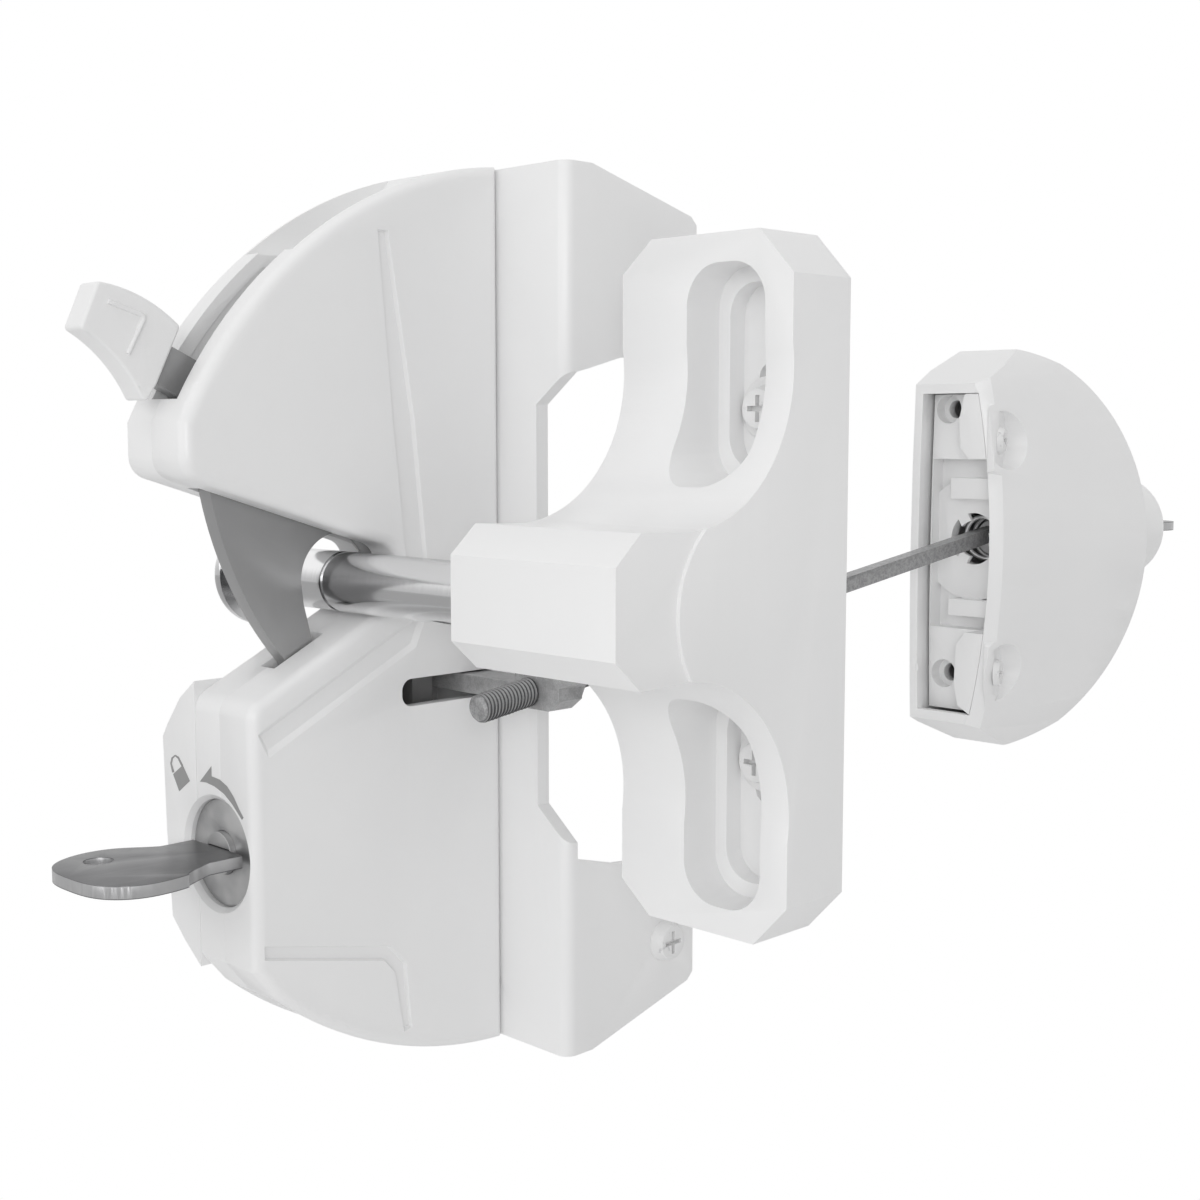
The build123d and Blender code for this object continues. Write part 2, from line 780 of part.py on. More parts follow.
# Thumb grip pushed onto the end of the hook arm
with BuildPart() as thumb_grip:
    with BuildSketch(side(grip_far_x)):
        with BuildLine():
            ThreePointArc((-83.2, 59.6), (-74.8, 57.4), (-68.2, 53.0))
            Polyline((-68.2, 53.0), (-72.9, 43.3), (-75.3, 39.8))
            ThreePointArc((-75.3, 39.8), (-79.6, 46.6), (-86.5, 52.0))
            Line((-86.5, 52.0), (-83.2, 59.6))
        make_face()
    extrude(amount=grip_near_x - grip_far_x)
    fillet(edges().filter_by(Axis.X), 0.8)
    fillet(faces().filter_by(Axis.X).edges(), 0.6)
    with BuildSketch(side(hook_far_x)):
        outline([(-65.0, 47.6), (-75.8, 52.7), (-77.9, 46.0), (-68.1, 41.3)])
    extrude(amount=hook_near_x - hook_far_x, mode=Mode.SUBTRACT)
    # Raised corner line on the near face
    with BuildSketch(side(grip_near_x - 0.2)):
        outline([(-81.5, 56.1), (-75.6, 54.4), (-78.4, 48.5), (-77.9, 48.2), (-74.8, 54.8), (-81.3, 56.7)])
    extrude(amount=0.5)
save(thumb_grip.part, "thumb_grip")


# Key lock: fixed sleeve, turning plug, retaining fork, cam and its screw
with BuildPart() as lock_sleeve:
    with BuildSketch(front(sleeve_back_y)):
        with Locations((lock_x, lock_z)):
            Circle(sleeve_radius)
            Circle(plug_radius + turn_clearance, mode=Mode.SUBTRACT)
    extrude(amount=sleeve_back_y - sleeve_front_y - sleeve_web)
    with BuildSketch(front(sleeve_front_y + sleeve_web)):
        with Locations((lock_x, lock_z)):
            Circle(sleeve_radius)
            Circle(plug_nose_radius + turn_clearance, mode=Mode.SUBTRACT)
    extrude(amount=sleeve_web)
    for up in (1, -1):
        with BuildSketch(front(fork_back_y + 0.05)):
            with Locations((lock_x, lock_z + up * (fork_gap + 5.0 - 0.05))):
                Rectangle(30, 10)
        extrude(amount=fork_thickness + 0.1, mode=Mode.SUBTRACT)
save(lock_sleeve.part, "lock_sleeve")

with BuildPart() as lock_plug:
    with BuildSketch(front(sleeve_back_y)):
        with Locations((lock_x, lock_z)):
            Circle(plug_radius)
    extrude(amount=sleeve_back_y - sleeve_front_y - sleeve_web - turn_clearance)
    with BuildSketch(front(sleeve_front_y + sleeve_web + turn_clearance)):
        with Locations((lock_x, lock_z)):
            Circle(plug_nose_radius)
    extrude(amount=sleeve_web + plug_nose_out)
    with BuildSketch(front(keyway_end_y)):
        with Locations((lock_x, lock_z)):
            Rectangle(blade_width + 2 * key_gap, key_thickness + 2 * key_gap)
    extrude(amount=30, mode=Mode.SUBTRACT)
    with BuildSketch(front(sleeve_back_y)):
        with Locations((lock_x, lock_z)):
            Circle(screw_hole_radius - 0.05)
    extrude(amount=5.5, mode=Mode.SUBTRACT)
save(lock_plug.part, "lock_plug")

with BuildPart() as barrel_fork:
    with BuildSketch(front(fork_back_y)):
        outline(
            [
                (lock_x - 12.8, lock_z - 11.2),
                (lock_x + 6.0, lock_z - 11.2),
                (lock_x + 6.0, lock_z - fork_gap),
                (lock_x - 10.0, lock_z - fork_gap),
                (lock_x - 10.0, lock_z + fork_gap),
                (lock_x + 6.0, lock_z + fork_gap),
                (lock_x + 6.0, lock_z + 11.2),
                (lock_x - 12.8, lock_z + 11.2),
            ]
        )
    extrude(amount=fork_thickness)
save(barrel_fork.part, "barrel_fork")

rest_angle = radians(-45)
cam_pin_x = lock_x + cam_pin_reach * cos(rest_angle)
cam_pin_z = lock_z + cam_pin_reach * sin(rest_angle)

with BuildPart() as lock_cam:
    with BuildSketch(front(cam_back_y)):
        with Locations((lock_x, lock_z)):
            Circle(cam_radius)
            Circle(screw_hole_radius - 0.05, mode=Mode.SUBTRACT)
    extrude(amount=cam_thickness)
    with BuildSketch(front(bolt_back_y + 0.3)):
        with Locations((cam_pin_x, cam_pin_z)):
            Circle(cam_pin_radius)
    extrude(amount=bolt_back_y + 0.3 - cam_back_y)
save(lock_cam.part, "lock_cam")

with BuildPart() as cam_screw:
    with BuildSketch(front(cam_back_y + 1.9)):
        with Locations((lock_x, lock_z)):
            Circle(screw_head_radius)
    extrude(amount=1.9)
    with BuildSketch(front(cam_back_y)):
        with Locations((lock_x, lock_z)):
            Circle(screw_hole_radius - 0.1)
    extrude(amount=cam_thickness + 4.8)
    with BuildSketch(front(cam_back_y + 1.9)):
        with Locations((lock_x, lock_z)):
            Rectangle(3.4, 0.7)
            Rectangle(0.7, 3.4)
    extrude(amount=1.0, mode=Mode.SUBTRACT)
save(cam_screw.part, "cam_screw")

# Bolt that the cam pin lifts in front of the tail of the hook
with BuildPart() as lock_bolt:
    with BuildSketch(front(bolt_back_y)):
        outline([(-16.6, -47.5), (-2.9, -47.5), (-2.9, bolt_top_z), (-16.6, bolt_top_z)])
        with Locations(((cam_pin_x + lock_x + cam_pin_reach) / 2, cam_pin_z)):
            Rectangle(
                lock_x + cam_pin_reach - cam_pin_x + 2 * cam_pin_radius + 2 * pin_slot_gap,
                2 * cam_pin_radius + 2 * pin_slot_gap,
                mode=Mode.SUBTRACT,
            )
    extrude(amount=bolt_back_y - bolt_front_y)
    with BuildSketch(front(tongue_back_y)):
        outline(
            [
                (-12.6, bolt_top_z - tongue_depth),
                (-7.4, bolt_top_z - tongue_depth),
                (-7.4, bolt_top_z),
                (-12.6, bolt_top_z),
            ]
        )
    extrude(amount=tongue_back_y - bolt_back_y)
save(lock_bolt.part, "lock_bolt")


# Keys: the same blade, with a wide bow inside and a narrow bow on the street side
def key_outline(bow_half, bow_length, neck_half, neck_length, blade_length):
    """Key seen from above, shoulder at the origin and the bow towards negative Y."""
    bow_start = -neck_length
    bow_end = -neck_length - bow_length
    with BuildLine() as path:
        Polyline(
            (neck_half, 0),
            (blade_width / 2, 0),
            (blade_width / 2, blade_length - 2),
            (0, blade_length),
            (-blade_width / 2, blade_length - 2),
            (-blade_width / 2, 0),
            (-neck_half, 0),
            (-neck_half, bow_start),
        )
        Spline(
            (-neck_half, bow_start),
            (-bow_half * 0.94, bow_start - bow_length * 0.3),
            (-bow_half, bow_start - bow_length * 0.6),
            (-bow_half * 0.66, bow_start - bow_length * 0.93),
            (0, bow_end),
            (bow_half * 0.66, bow_start - bow_length * 0.93),
            (bow_half, bow_start - bow_length * 0.6),
            (bow_half * 0.94, bow_start - bow_length * 0.3),
            (neck_half, bow_start),
            tangents=[(-0.5, -1), (-0.5, 1)],
        )
        Line((neck_half, bow_start), (neck_half, 0))
    make_face(path.edges())


with BuildPart() as inside_key:
    key_plane = Plane((lock_x, sleeve_front_y - plug_nose_out - 0.2, lock_z - key_thickness / 2))
    with BuildSketch(key_plane):
        key_outline(13.0, 22.0, 8.0, 6.6, 13.8)
        with Locations((-6.4, -19.6)):
            Circle(2.6, mode=Mode.SUBTRACT)
    extrude(amount=key_thickness)
save(inside_key.part, "inside_key")


# Push arm: a bar behind the tail of the hook with the block that takes the rod
rod_angle = atan(rod_slope)
rod_tip = Vector(rod_x, rod_tip_y, rod_tip_z)
rod_plane = Plane(origin=rod_tip, x_dir=(1, 0, 0), z_dir=(0, cos(rod_angle), sin(rod_angle)))
rod_length = (rod_end_y - rod_tip_y) / cos(rod_angle)

with BuildPart() as push_arm:
    with BuildSketch(Plane.XY.offset(arm_bottom_z)):
        outline(
            [
                (arm_far_x, arm_front_y),
                (17.0, arm_front_y),
                (17.0, arm_back_y - 1.0),
                (12.0, arm_back_y),
                (arm_far_x, arm_back_y),
            ]
        )
    extrude(amount=arm_top_z - arm_bottom_z)
    with BuildSketch(front(block_back_y)):
        outline(
            [
                (15.2, -15.2),
                (24.2, -15.2),
                (26.9, -13.1),
                (26.9, -10.9),
                (29.0, -10.2),
                (25.4, -8.5),
                (15.2, -8.5),
            ]
        )
    extrude(amount=block_back_y - block_front_y)
    with BuildSketch(rod_plane):
        Circle(stud_radius + turn_clearance)
    extrude(amount=stud_length, mode=Mode.SUBTRACT)
save(push_arm.part, "push_arm")

with BuildPart() as push_rod:
    with BuildSketch(rod_plane):
        Circle(stud_radius)
    extrude(amount=stud_length)
    chamfer(edges().filter_by(GeomType.CIRCLE).sort_by(Axis.Y)[0], 0.5)
    with BuildSketch(rod_plane.offset(stud_length)):
        Rectangle(rod_side, rod_side)
    extrude(amount=rod_length - stud_length)
save(push_rod.part, "push_rod")

with BuildPart() as rod_locknut:
    with BuildSketch(rod_plane.offset(locknut_start)):
        RegularPolygon(4.0, 6, major_radius=False)
        Circle(stud_radius + turn_clearance, mode=Mode.SUBTRACT)
    extrude(amount=3.6)
    chamfer(edges().filter_by(GeomType.CIRCLE), 0.3)
save(rod_locknut.part, "rod_locknut")


# Striker: one side outline drawn across the gate, its corners cut in front view
def striker_outline():
    """Side view of the striker: flat nose, hollow curves and the plate on the gate."""
    low = striker_z - striker_half_height
    high = striker_z + striker_half_height
    with BuildLine() as path:
        Polyline(
            (striker_back_y, low),
            (striker_back_y, high),
            (striker_plate_y, high),
            (striker_plate_y, striker_z + 41.8),
        )
        for up in (1, -1):
            ThreePointArc(
                (striker_plate_y, striker_z + up * 41.8),
                (-10.8, striker_z + up * 19.1),
                (-28.0, striker_z + up * (nose_half - 0.4)),
            )
            Polyline(
                (-28.0, striker_z + up * (nose_half - 0.4)),
                (striker_front_y + 5.4, striker_z + up * nose_half),
                (striker_front_y, striker_z + up * nose_flat),
            )
        Line(
            (striker_front_y, striker_z + nose_flat), (striker_front_y, striker_z - nose_flat)
        )
        Polyline((striker_plate_y, striker_z - 41.8), (striker_plate_y, low), (striker_back_y, low))
    make_face(path.edges())


with BuildPart() as striker_body:
    with BuildSketch(side(striker_left_x)):
        striker_outline()
    extrude(amount=striker_right_x - striker_left_x)
    with BuildSketch(front(striker_back_y + 1)):
        outline(
            [
                (striker_left_x, striker_z - 54.6),
                (40.1, striker_z - striker_half_height),
                (64.4, striker_z - striker_half_height),
                (striker_right_x, striker_z - 52.7),
                (striker_right_x, striker_z + 52.7),
                (64.4, striker_z + striker_half_height),
                (40.1, striker_z + striker_half_height),
                (striker_left_x, striker_z + 54.6),
            ]
        )
    extrude(amount=60, mode=Mode.INTERSECT)
    # Shallow step on the gate side of the nose, with a round end
    with BuildSketch(side(striker_right_x)):
        outline([(-46, -14), (-17, -14), (-17, 31), (-46, 31)])
        with Locations((-12.4, 6.8)):
            Circle(18.1, mode=Mode.SUBTRACT)
    extrude(amount=-0.7, mode=Mode.SUBTRACT)
    # Pockets and slots of the two gate screws
    for up in (1, -1):
        with BuildSketch(front(pocket_floor_y)):
            with Locations((pocket_x, striker_z + up * pocket_offset_z)):
                RectangleRounded(17.3, 37.5, 7.1)
        extrude(amount=40, mode=Mode.SUBTRACT)
        with BuildSketch(front(screw_slot_floor_y)):
            with Locations((pocket_x, striker_z + up * pocket_offset_z)):
                RectangleRounded(12.2, 32.0, 5.6)
        extrude(amount=10, mode=Mode.SUBTRACT)
        with BuildSketch(front(striker_back_y)):
            with Locations((pocket_x, striker_z + up * striker_screw_offset_z)):
                SlotOverall(16.0, 2 * leg_hole_radius, rotation=90)
        extrude(amount=10, mode=Mode.SUBTRACT)
    # Bore of the strike bar and the hole of its set screw
    with BuildSketch(side(striker_left_x)):
        with Locations((bar_y, bar_z)):
            Circle(bar_radius + bar_hole_gap)
    extrude(amount=bar_grip, mode=Mode.SUBTRACT)
    with BuildSketch(Plane.XY.offset(striker_z - nose_half)):
        with Locations((set_screw_x, bar_y)):
            Circle(set_screw_radius + 0.05)
    extrude(amount=nose_half, mode=Mode.SUBTRACT)
save(striker_body.part, "striker_body")

with BuildPart() as strike_bar:
    with BuildSketch(side(bar_head_x)):
        with Locations((bar_y, bar_z)):
            Circle(bar_head_radius)
    extrude(amount=4.0)
    fillet(edges().filter_by(GeomType.CIRCLE).sort_by(Axis.X)[0], 3.0)
    with BuildSketch(side(bar_head_x)):
        with Locations((bar_y, bar_z)):
            Circle(bar_radius)
    extrude(amount=striker_left_x + bar_grip - 0.4 - bar_head_x)
    with BuildSketch(side(bar_groove_x)):
        with Locations((bar_y, bar_z)):
            Circle(bar_radius + 1)
            Circle(bar_radius - 0.5, mode=Mode.SUBTRACT)
    extrude(amount=1.0, mode=Mode.SUBTRACT)
save(strike_bar.part, "strike_bar")

with BuildPart() as bar_set_screw:
    with BuildSketch(Plane.XY.offset(striker_z - nose_half + 1.0)):
        with Locations((set_screw_x, bar_y)):
            Circle(set_screw_radius)
            RegularPolygon(1.3, 6, mode=Mode.SUBTRACT)
    extrude(amount=2.5)
    with BuildSketch(Plane.XY.offset(striker_z - nose_half + 3.5)):
        with Locations((set_screw_x, bar_y)):
            Circle(set_screw_radius)
    extrude(amount=bar_z - bar_radius - 0.05 - (striker_z - nose_half + 3.5))
save(bar_set_screw.part, "bar_set_screw")

with BuildPart() as striker_washers:
    with BuildSketch(front(screw_slot_floor_y)):
        with Locations(*[(pocket_x, striker_z + up * striker_screw_offset_z) for up in (1, -1)]):
            Circle(5.6)
            Circle(screw_neck_radius + screw_neck_gap, mode=Mode.SUBTRACT)
    extrude(amount=washer_thickness)
save(striker_washers.part, "striker_washers")


with BuildPart() as striker_screws:
    spots = [(pocket_x, striker_z + up * striker_screw_offset_z) for up in (1, -1)]
    head_y = screw_slot_floor_y - washer_thickness
    with BuildSketch(front(head_y)):
        with Locations(*spots):
            Circle(4.2)
    extrude(amount=2.6, taper=18)
    with BuildSketch(front(striker_back_y)):
        with Locations(*spots):
            Circle(screw_neck_radius)
    extrude(amount=striker_back_y - head_y)
    with BuildSketch(front(head_y + striker_screw_length)):
        with Locations(*spots):
            Circle(gate_screw_radius)
    extrude(amount=striker_screw_length)
    with BuildSketch(front(head_y - 2.6)):
        with Locations(*spots):
            Rectangle(4.6, 0.9)
            Rectangle(0.9, 4.6)
    extrude(amount=-1.5, mode=Mode.SUBTRACT)
save(striker_screws.part, "striker_screws")

with BuildPart() as post_screws:
    leg_face_x = plate_half_width
    spots = [(leg_screw_y, up * leg_screw_z) for up in (1, -1)]
    with BuildSketch(side(leg_face_x)):
        with Locations(*spots):
            Circle(4.2)
    extrude(amount=2.6, taper=18)
    with BuildSketch(side(leg_inner_x)):
        with Locations(*spots):
            Circle(screw_neck_radius)
    extrude(amount=leg_face_x - leg_inner_x)
    with BuildSketch(side(leg_face_x - gate_screw_length)):
        with Locations(*spots):
            Circle(gate_screw_radius)
    extrude(amount=gate_screw_length)
    with BuildSketch(side(leg_face_x + 2.6)):
        with Locations(*spots):
            Rectangle(4.6, 0.9)
            Rectangle(0.9, 4.6)
    extrude(amount=-1.5, mode=Mode.SUBTRACT)
save(post_screws.part, "post_screws")



# Street side unit: half round cover, base in its open back, push button with its lock
def unit_side_view():
    """Side outline of the cover: slanted ends and a half round dome."""
    with BuildLine() as path:
        Line((unit_back_y, -35.3), (shoulder_y, shoulder_bottom_z))
        ThreePointArc((shoulder_y, shoulder_bottom_z), (dome_end_y, dome_z), (shoulder_y, shoulder_top_z))
        Polyline((shoulder_y, shoulder_top_z), (unit_back_y, 46.7), (unit_back_y, -35.3))
    make_face(path.edges())


def unit_back_view():
    """Back outline of the cover: nearly straight far side, bowed near side, cut corners."""
    with BuildLine() as path:
        Polyline((7.4, 50.0), (10.5, 54.8), (22.6, 54.8), (25.6, 50.5))
        ThreePointArc((25.6, 50.5), (30.8, 7.4), (25.6, -36.5))
        Polyline((25.6, -36.5), (22.6, -41.2), (10.5, -41.2), (7.4, -37.0))
        ThreePointArc((7.4, -37.0), (6.6, 7.0), (7.4, 50.0))
    make_face(path.edges())


def base_view():
    """Back outline of the base: the middle stretch of the room inside the cover."""
    unit_back_view()
    offset(amount=-cover_wall - base_gap, mode=Mode.REPLACE)
    with Locations((unit_x, (opening_top_z + opening_bottom_z) / 2)):
        Rectangle(60, opening_top_z - opening_bottom_z - 2 * base_gap, mode=Mode.INTERSECT)


def screw_plane(spot, depth):
    """Plane of a slanted cover screw, the given depth below the flank of the cover."""
    turn = radians(cover_screw_turn)
    outward = Vector(cos(turn), sin(turn), 0)
    start = Vector(cover_screw_x, spot[0], spot[1]) - outward * depth
    return Plane(origin=start, x_dir=(0, 0, 1), z_dir=outward)


# Full outer form of the cover and the room inside it
with BuildPart() as unit_form:
    with BuildSketch(side(-10)):
        unit_side_view()
    extrude(amount=60)
    with BuildSketch(front(unit_back_y)):
        unit_back_view()
    extrude(amount=-80, taper=-unit_flare, mode=Mode.INTERSECT)

with BuildPart() as unit_room:
    with BuildSketch(side(-10)):
        unit_side_view()
        offset(amount=-cover_wall, mode=Mode.REPLACE)
    extrude(amount=60)
    with BuildSketch(front(unit_back_y)):
        unit_back_view()
        offset(amount=-cover_wall, mode=Mode.REPLACE)
    extrude(amount=-80, taper=-unit_flare, mode=Mode.INTERSECT)

# Guide tube of the button, screw posts and pocket walls, trimmed by the outer form
with BuildPart() as unit_works:
    with BuildSketch(front(tube_back_y)):
        with Locations((unit_x, unit_z)):
            Circle(tube_radius)
    extrude(amount=-60)
    for spot in cover_screw_spots:
        with BuildSketch(screw_plane(spot, cover_pocket_depth + cover_pocket_wall)):
            Circle(cover_pocket_radius + cover_pocket_wall)
        extrude(amount=30)
    add(unit_form.part, mode=Mode.INTERSECT)

with BuildPart() as outer_cover:
    add(unit_form.part)
    near_rim = edges().filter_by_position(Axis.Y, unit_back_y - 0.1, unit_back_y + 0.1)
    chamfer(near_rim.filter_by(GeomType.CIRCLE).sort_by(Axis.X)[-1], cover_edge)
    add(unit_room.part, mode=Mode.SUBTRACT)
    with BuildSketch(front(unit_back_y)):
        unit_back_view()
        offset(amount=-cover_wall, mode=Mode.REPLACE)
        with Locations((unit_x, (opening_top_z + opening_bottom_z) / 2)):
            Rectangle(60, opening_top_z - opening_bottom_z, mode=Mode.INTERSECT)
    extrude(amount=-cover_wall - 1, mode=Mode.SUBTRACT)
    add(unit_works.part)
    with BuildSketch(front(button_bore_back_y)):
        with Locations((unit_x, unit_z)):
            Circle(button_radius + button_gap)
    extrude(amount=-60, mode=Mode.SUBTRACT)
    for spot in cover_screw_spots:
        with BuildSketch(screw_plane(spot, cover_pocket_depth)):
            Circle(cover_pocket_radius)
        extrude(amount=30, mode=Mode.SUBTRACT)
        with BuildSketch(screw_plane(spot, cover_pocket_depth)):
            Circle(cover_screw_radius + 0.1)
        extrude(amount=-20, mode=Mode.SUBTRACT)
save(outer_cover.part, "outer_cover")

with BuildPart() as outer_base:
    with BuildSketch(front(floor_y)):
        base_view()
    extrude(amount=-(base_front_y - floor_y))
    # Raised blocks on the near side that take the cover screws
    with BuildSketch(front(unit_back_y + block_inset)):
        outline([(30, 49), (25.8, 47.2), (20.8, 43.9), (19.6, 38.3), (20.0, 31.4), (22.4, 28.8), (32, 28.8)])
        lower_block = [(30, -36), (25.8, -33.8), (20.8, -31.0), (19.6, -25.6), (20.0, -16.2), (22.4, -13.0)]
        outline([*lower_block, (32, -13.0)])
        with BuildSketch(mode=Mode.PRIVATE) as whole:
            base_view()
        add(whole.sketch_local, mode=Mode.INTERSECT)
    extrude(amount=-(floor_y - unit_back_y - block_inset))
    # Middle hollow round the rod, with a ledge above and below and deeper corners
    for depth_y in (hub_floor_y, corner_floor_y):
        with BuildSketch(front(depth_y)):
            outline([(9.4, -12.8), (27.4, -12.8), (27.4, 28.6), (9.4, 28.6)])
            outline([(14.6, 19.0), (25.6, 19.0), (25.6, 24.0), (14.6, 24.0)], Mode.SUBTRACT)
            outline([(14.6, -5.6), (25.6, -5.6), (25.6, -9.6), (14.6, -9.6)], Mode.SUBTRACT)
            if depth_y > hub_floor_y:
                with Locations((unit_x, unit_z)):
                    Circle(hub_radius_street, mode=Mode.SUBTRACT)
        extrude(amount=20, mode=Mode.SUBTRACT)
    with BuildSketch(front(hub_floor_y + 5)):
        with Locations((unit_x, unit_z)):
            Circle(spring_bore_radius)
    extrude(amount=20, mode=Mode.SUBTRACT)
    # Three tabs that the spring stands on
    for turn in (0, 120, 240):
        with BuildSketch(front(spring_seat_y)):
            with Locations((unit_x, unit_z)):
                Rectangle(spring_bore_radius + 1, 3.0, rotation=turn, align=(Align.MIN, Align.CENTER))
                Circle(button_spring_radius - 0.8, mode=Mode.SUBTRACT)
        extrude(amount=1.2)
    for hole_radius, hole_end_y in ((post_head_room, floor_y + 3.5), (post_hole_radius, floor_y + 10)):
        with BuildSketch(front(hole_end_y)):
            with Locations(*[(post_hole_x, z) for z in post_hole_z]):
                Circle(hole_radius)
        extrude(amount=20, mode=Mode.SUBTRACT)
    for spot in cover_screw_spots:
        with BuildSketch(screw_plane(spot, cover_pocket_depth + cover_pocket_wall + base_gap)):
            Circle(cover_pocket_radius + cover_pocket_wall + base_gap)
        extrude(amount=30, mode=Mode.SUBTRACT)
        with BuildSketch(screw_plane(spot, cover_pocket_depth)):
            Circle(cover_screw_radius + 0.1)
        extrude(amount=-20, mode=Mode.SUBTRACT)
save(outer_base.part, "outer_base")

with BuildPart() as cover_screws:
    for spot in cover_screw_spots:
        with BuildSketch(screw_plane(spot, cover_pocket_depth)):
            Circle(3.4)
        extrude(amount=1.4, taper=25)
        with BuildSketch(screw_plane(spot, cover_pocket_depth)):
            Circle(cover_screw_radius)
        extrude(amount=-cover_screw_length)
        with BuildSketch(screw_plane(spot, cover_pocket_depth - 1.4)):
            Rectangle(3.6, 0.8)
            Rectangle(0.8, 3.6)
        extrude(amount=-0.9, mode=Mode.SUBTRACT)
save(cover_screws.part, "cover_screws")

with BuildPart() as push_button:
    with BuildSketch(front(button_back_y)):
        with Locations((unit_x, unit_z)):
            Circle(button_radius)
    extrude(amount=-(button_end_y - button_back_y))
    fillet(edges().sort_by(Axis.Y)[-1], 2.0)
    with BuildSketch(front(button_back_y)):
        with Locations((unit_x, unit_z)):
            Circle(button_radius)
            Rectangle(lug_width, 2 * lug_reach)
    extrude(amount=-lug_thickness)
    with BuildSketch(front(button_back_y)):
        with Locations((unit_x, unit_z)):
            Circle(cam_room_radius)
    extrude(amount=-(cam_room_end_y - button_back_y), mode=Mode.SUBTRACT)
    with BuildSketch(front(button_back_y)):
        with Locations((unit_x, unit_z)):
            Circle(outer_plug_radius + turn_clearance)
    extrude(amount=-60, mode=Mode.SUBTRACT)
save(push_button.part, "push_button")

with BuildPart() as button_stem:
    with BuildSketch(front(button_back_y)):
        with Locations((unit_x, unit_z)):
            Circle(cam_room_radius - 0.02)
    extrude(amount=-3.4)
    with BuildSketch(front(button_back_y)):
        with Locations((unit_x, unit_z)):
            Circle(stem_radius)
    extrude(amount=button_back_y - stem_end_y)
    with BuildSketch(rod_plane.offset(rod_length)):
        Rectangle(rod_side + 0.1, rod_side + 0.1)
    extrude(amount=-10, mode=Mode.SUBTRACT)
save(button_stem.part, "button_stem")

with BuildPart() as outer_lock_plug:
    with BuildSketch(front(cam_room_end_y)):
        with Locations((unit_x, unit_z)):
            Circle(outer_plug_radius)
    extrude(amount=-(button_end_y + 0.05 - cam_room_end_y))
    with BuildSketch(front(button_end_y + 0.05)):
        with Locations((unit_x, unit_z)):
            Circle(outer_plug_radius + 1.0)
    extrude(amount=-1.2)
    with BuildSketch(front(outer_keyway_end_y)):
        with Locations((unit_x, unit_z)):
            Rectangle(blade_width + 2 * key_gap, key_thickness + 2 * key_gap)
    extrude(amount=-20, mode=Mode.SUBTRACT)
    with BuildSketch(front(cam_room_end_y)):
        with Locations((unit_x, unit_z)):
            Circle(screw_hole_radius - 0.05)
    extrude(amount=-6, mode=Mode.SUBTRACT)
save(outer_lock_plug.part, "outer_lock_plug")

with BuildPart() as outer_cam:
    with BuildSketch(front(cam_room_end_y - cam_thickness - 0.1)):
        with Locations((unit_x, unit_z)):
            Circle(8.6)
            Circle(screw_hole_radius - 0.05, mode=Mode.SUBTRACT)
        with Locations((unit_x, unit_z + 10.8)):
            Rectangle(20, 8, mode=Mode.SUBTRACT)
    extrude(amount=-cam_thickness)
save(outer_cam.part, "outer_cam")

with BuildPart() as outer_cam_screw:
    with BuildSketch(front(cam_room_end_y - cam_thickness - 0.1)):
        with Locations((unit_x, unit_z)):
            Circle(screw_head_radius)
    extrude(amount=1.9)
    with BuildSketch(front(cam_room_end_y - cam_thickness - 0.1)):
        with Locations((unit_x, unit_z)):
            Circle(screw_hole_radius - 0.1)
    extrude(amount=-cam_thickness - 5.6)
    with BuildSketch(front(cam_room_end_y - cam_thickness - 2.0)):
        with Locations((unit_x, unit_z)):
            Rectangle(3.4, 0.7)
            Rectangle(0.7, 3.4)
    extrude(amount=-1.0, mode=Mode.SUBTRACT)
save(outer_cam_screw.part, "outer_cam_screw")

with BuildPart() as outer_key:
    key_origin = (unit_x, button_end_y + 1.45, unit_z - key_thickness / 2)
    with BuildSketch(Plane(origin=key_origin, x_dir=(-1, 0, 0), z_dir=(0, 0, 1))):
        key_outline(9.5, 14.5, 5.6, 2.4, 13.8)
        with Locations((0, -12.6)):
            Circle(2.2, mode=Mode.SUBTRACT)
    extrude(amount=key_thickness)
save(outer_key.part, "outer_key")


# Compression spring of the button
def button_coil(turn):
    """Centre of the wire and its direction after the given number of turns."""
    angle = 2 * pi * turn
    start_y = spring_seat_y + 4 * button_spring_wire
    pitch = (button_back_y - 4 * button_spring_wire - start_y) / button_spring_turns
    spoke = Vector(cos(angle), 0, sin(angle)) * button_spring_radius
    along = Vector(-sin(angle) * button_spring_radius, pitch / (2 * pi), cos(angle) * button_spring_radius)
    return Vector(unit_x, start_y + pitch * turn, unit_z) + spoke, along.normalized()


with BuildPart() as button_spring:
    with BuildLine() as route:
        streetward = Vector(0, 1, 0)
        bend = 2 * button_spring_wire
        place, heading = button_coil(0)
        bend_start = place - heading * bend - streetward * bend
        foot = Vector(bend_start.X, spring_seat_y, bend_start.Z)
        Line(foot, bend_start)
        biarc(bend_start, streetward, place, heading)
        for quarter in range(1, 4 * button_spring_turns + 1):
            next_place, next_heading = button_coil(quarter / 4)
            biarc(place, heading, next_place, next_heading)
            place, heading = next_place, next_heading
        bend_end = place + heading * bend + streetward * bend
        biarc(place, heading, bend_end, streetward)
        Line(bend_end, Vector(bend_end.X, button_back_y, bend_end.Z))
    with BuildSketch(Plane(origin=foot, z_dir=streetward)):
        Circle(button_spring_wire)
    sweep(path=route.wires()[0])
save(button_spring.part, "button_spring")
print("button spring gap", least_gap(route.wires()[0], button_spring_wire, button_spring_radius))
print("button spring foot", foot)
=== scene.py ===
import json
import math

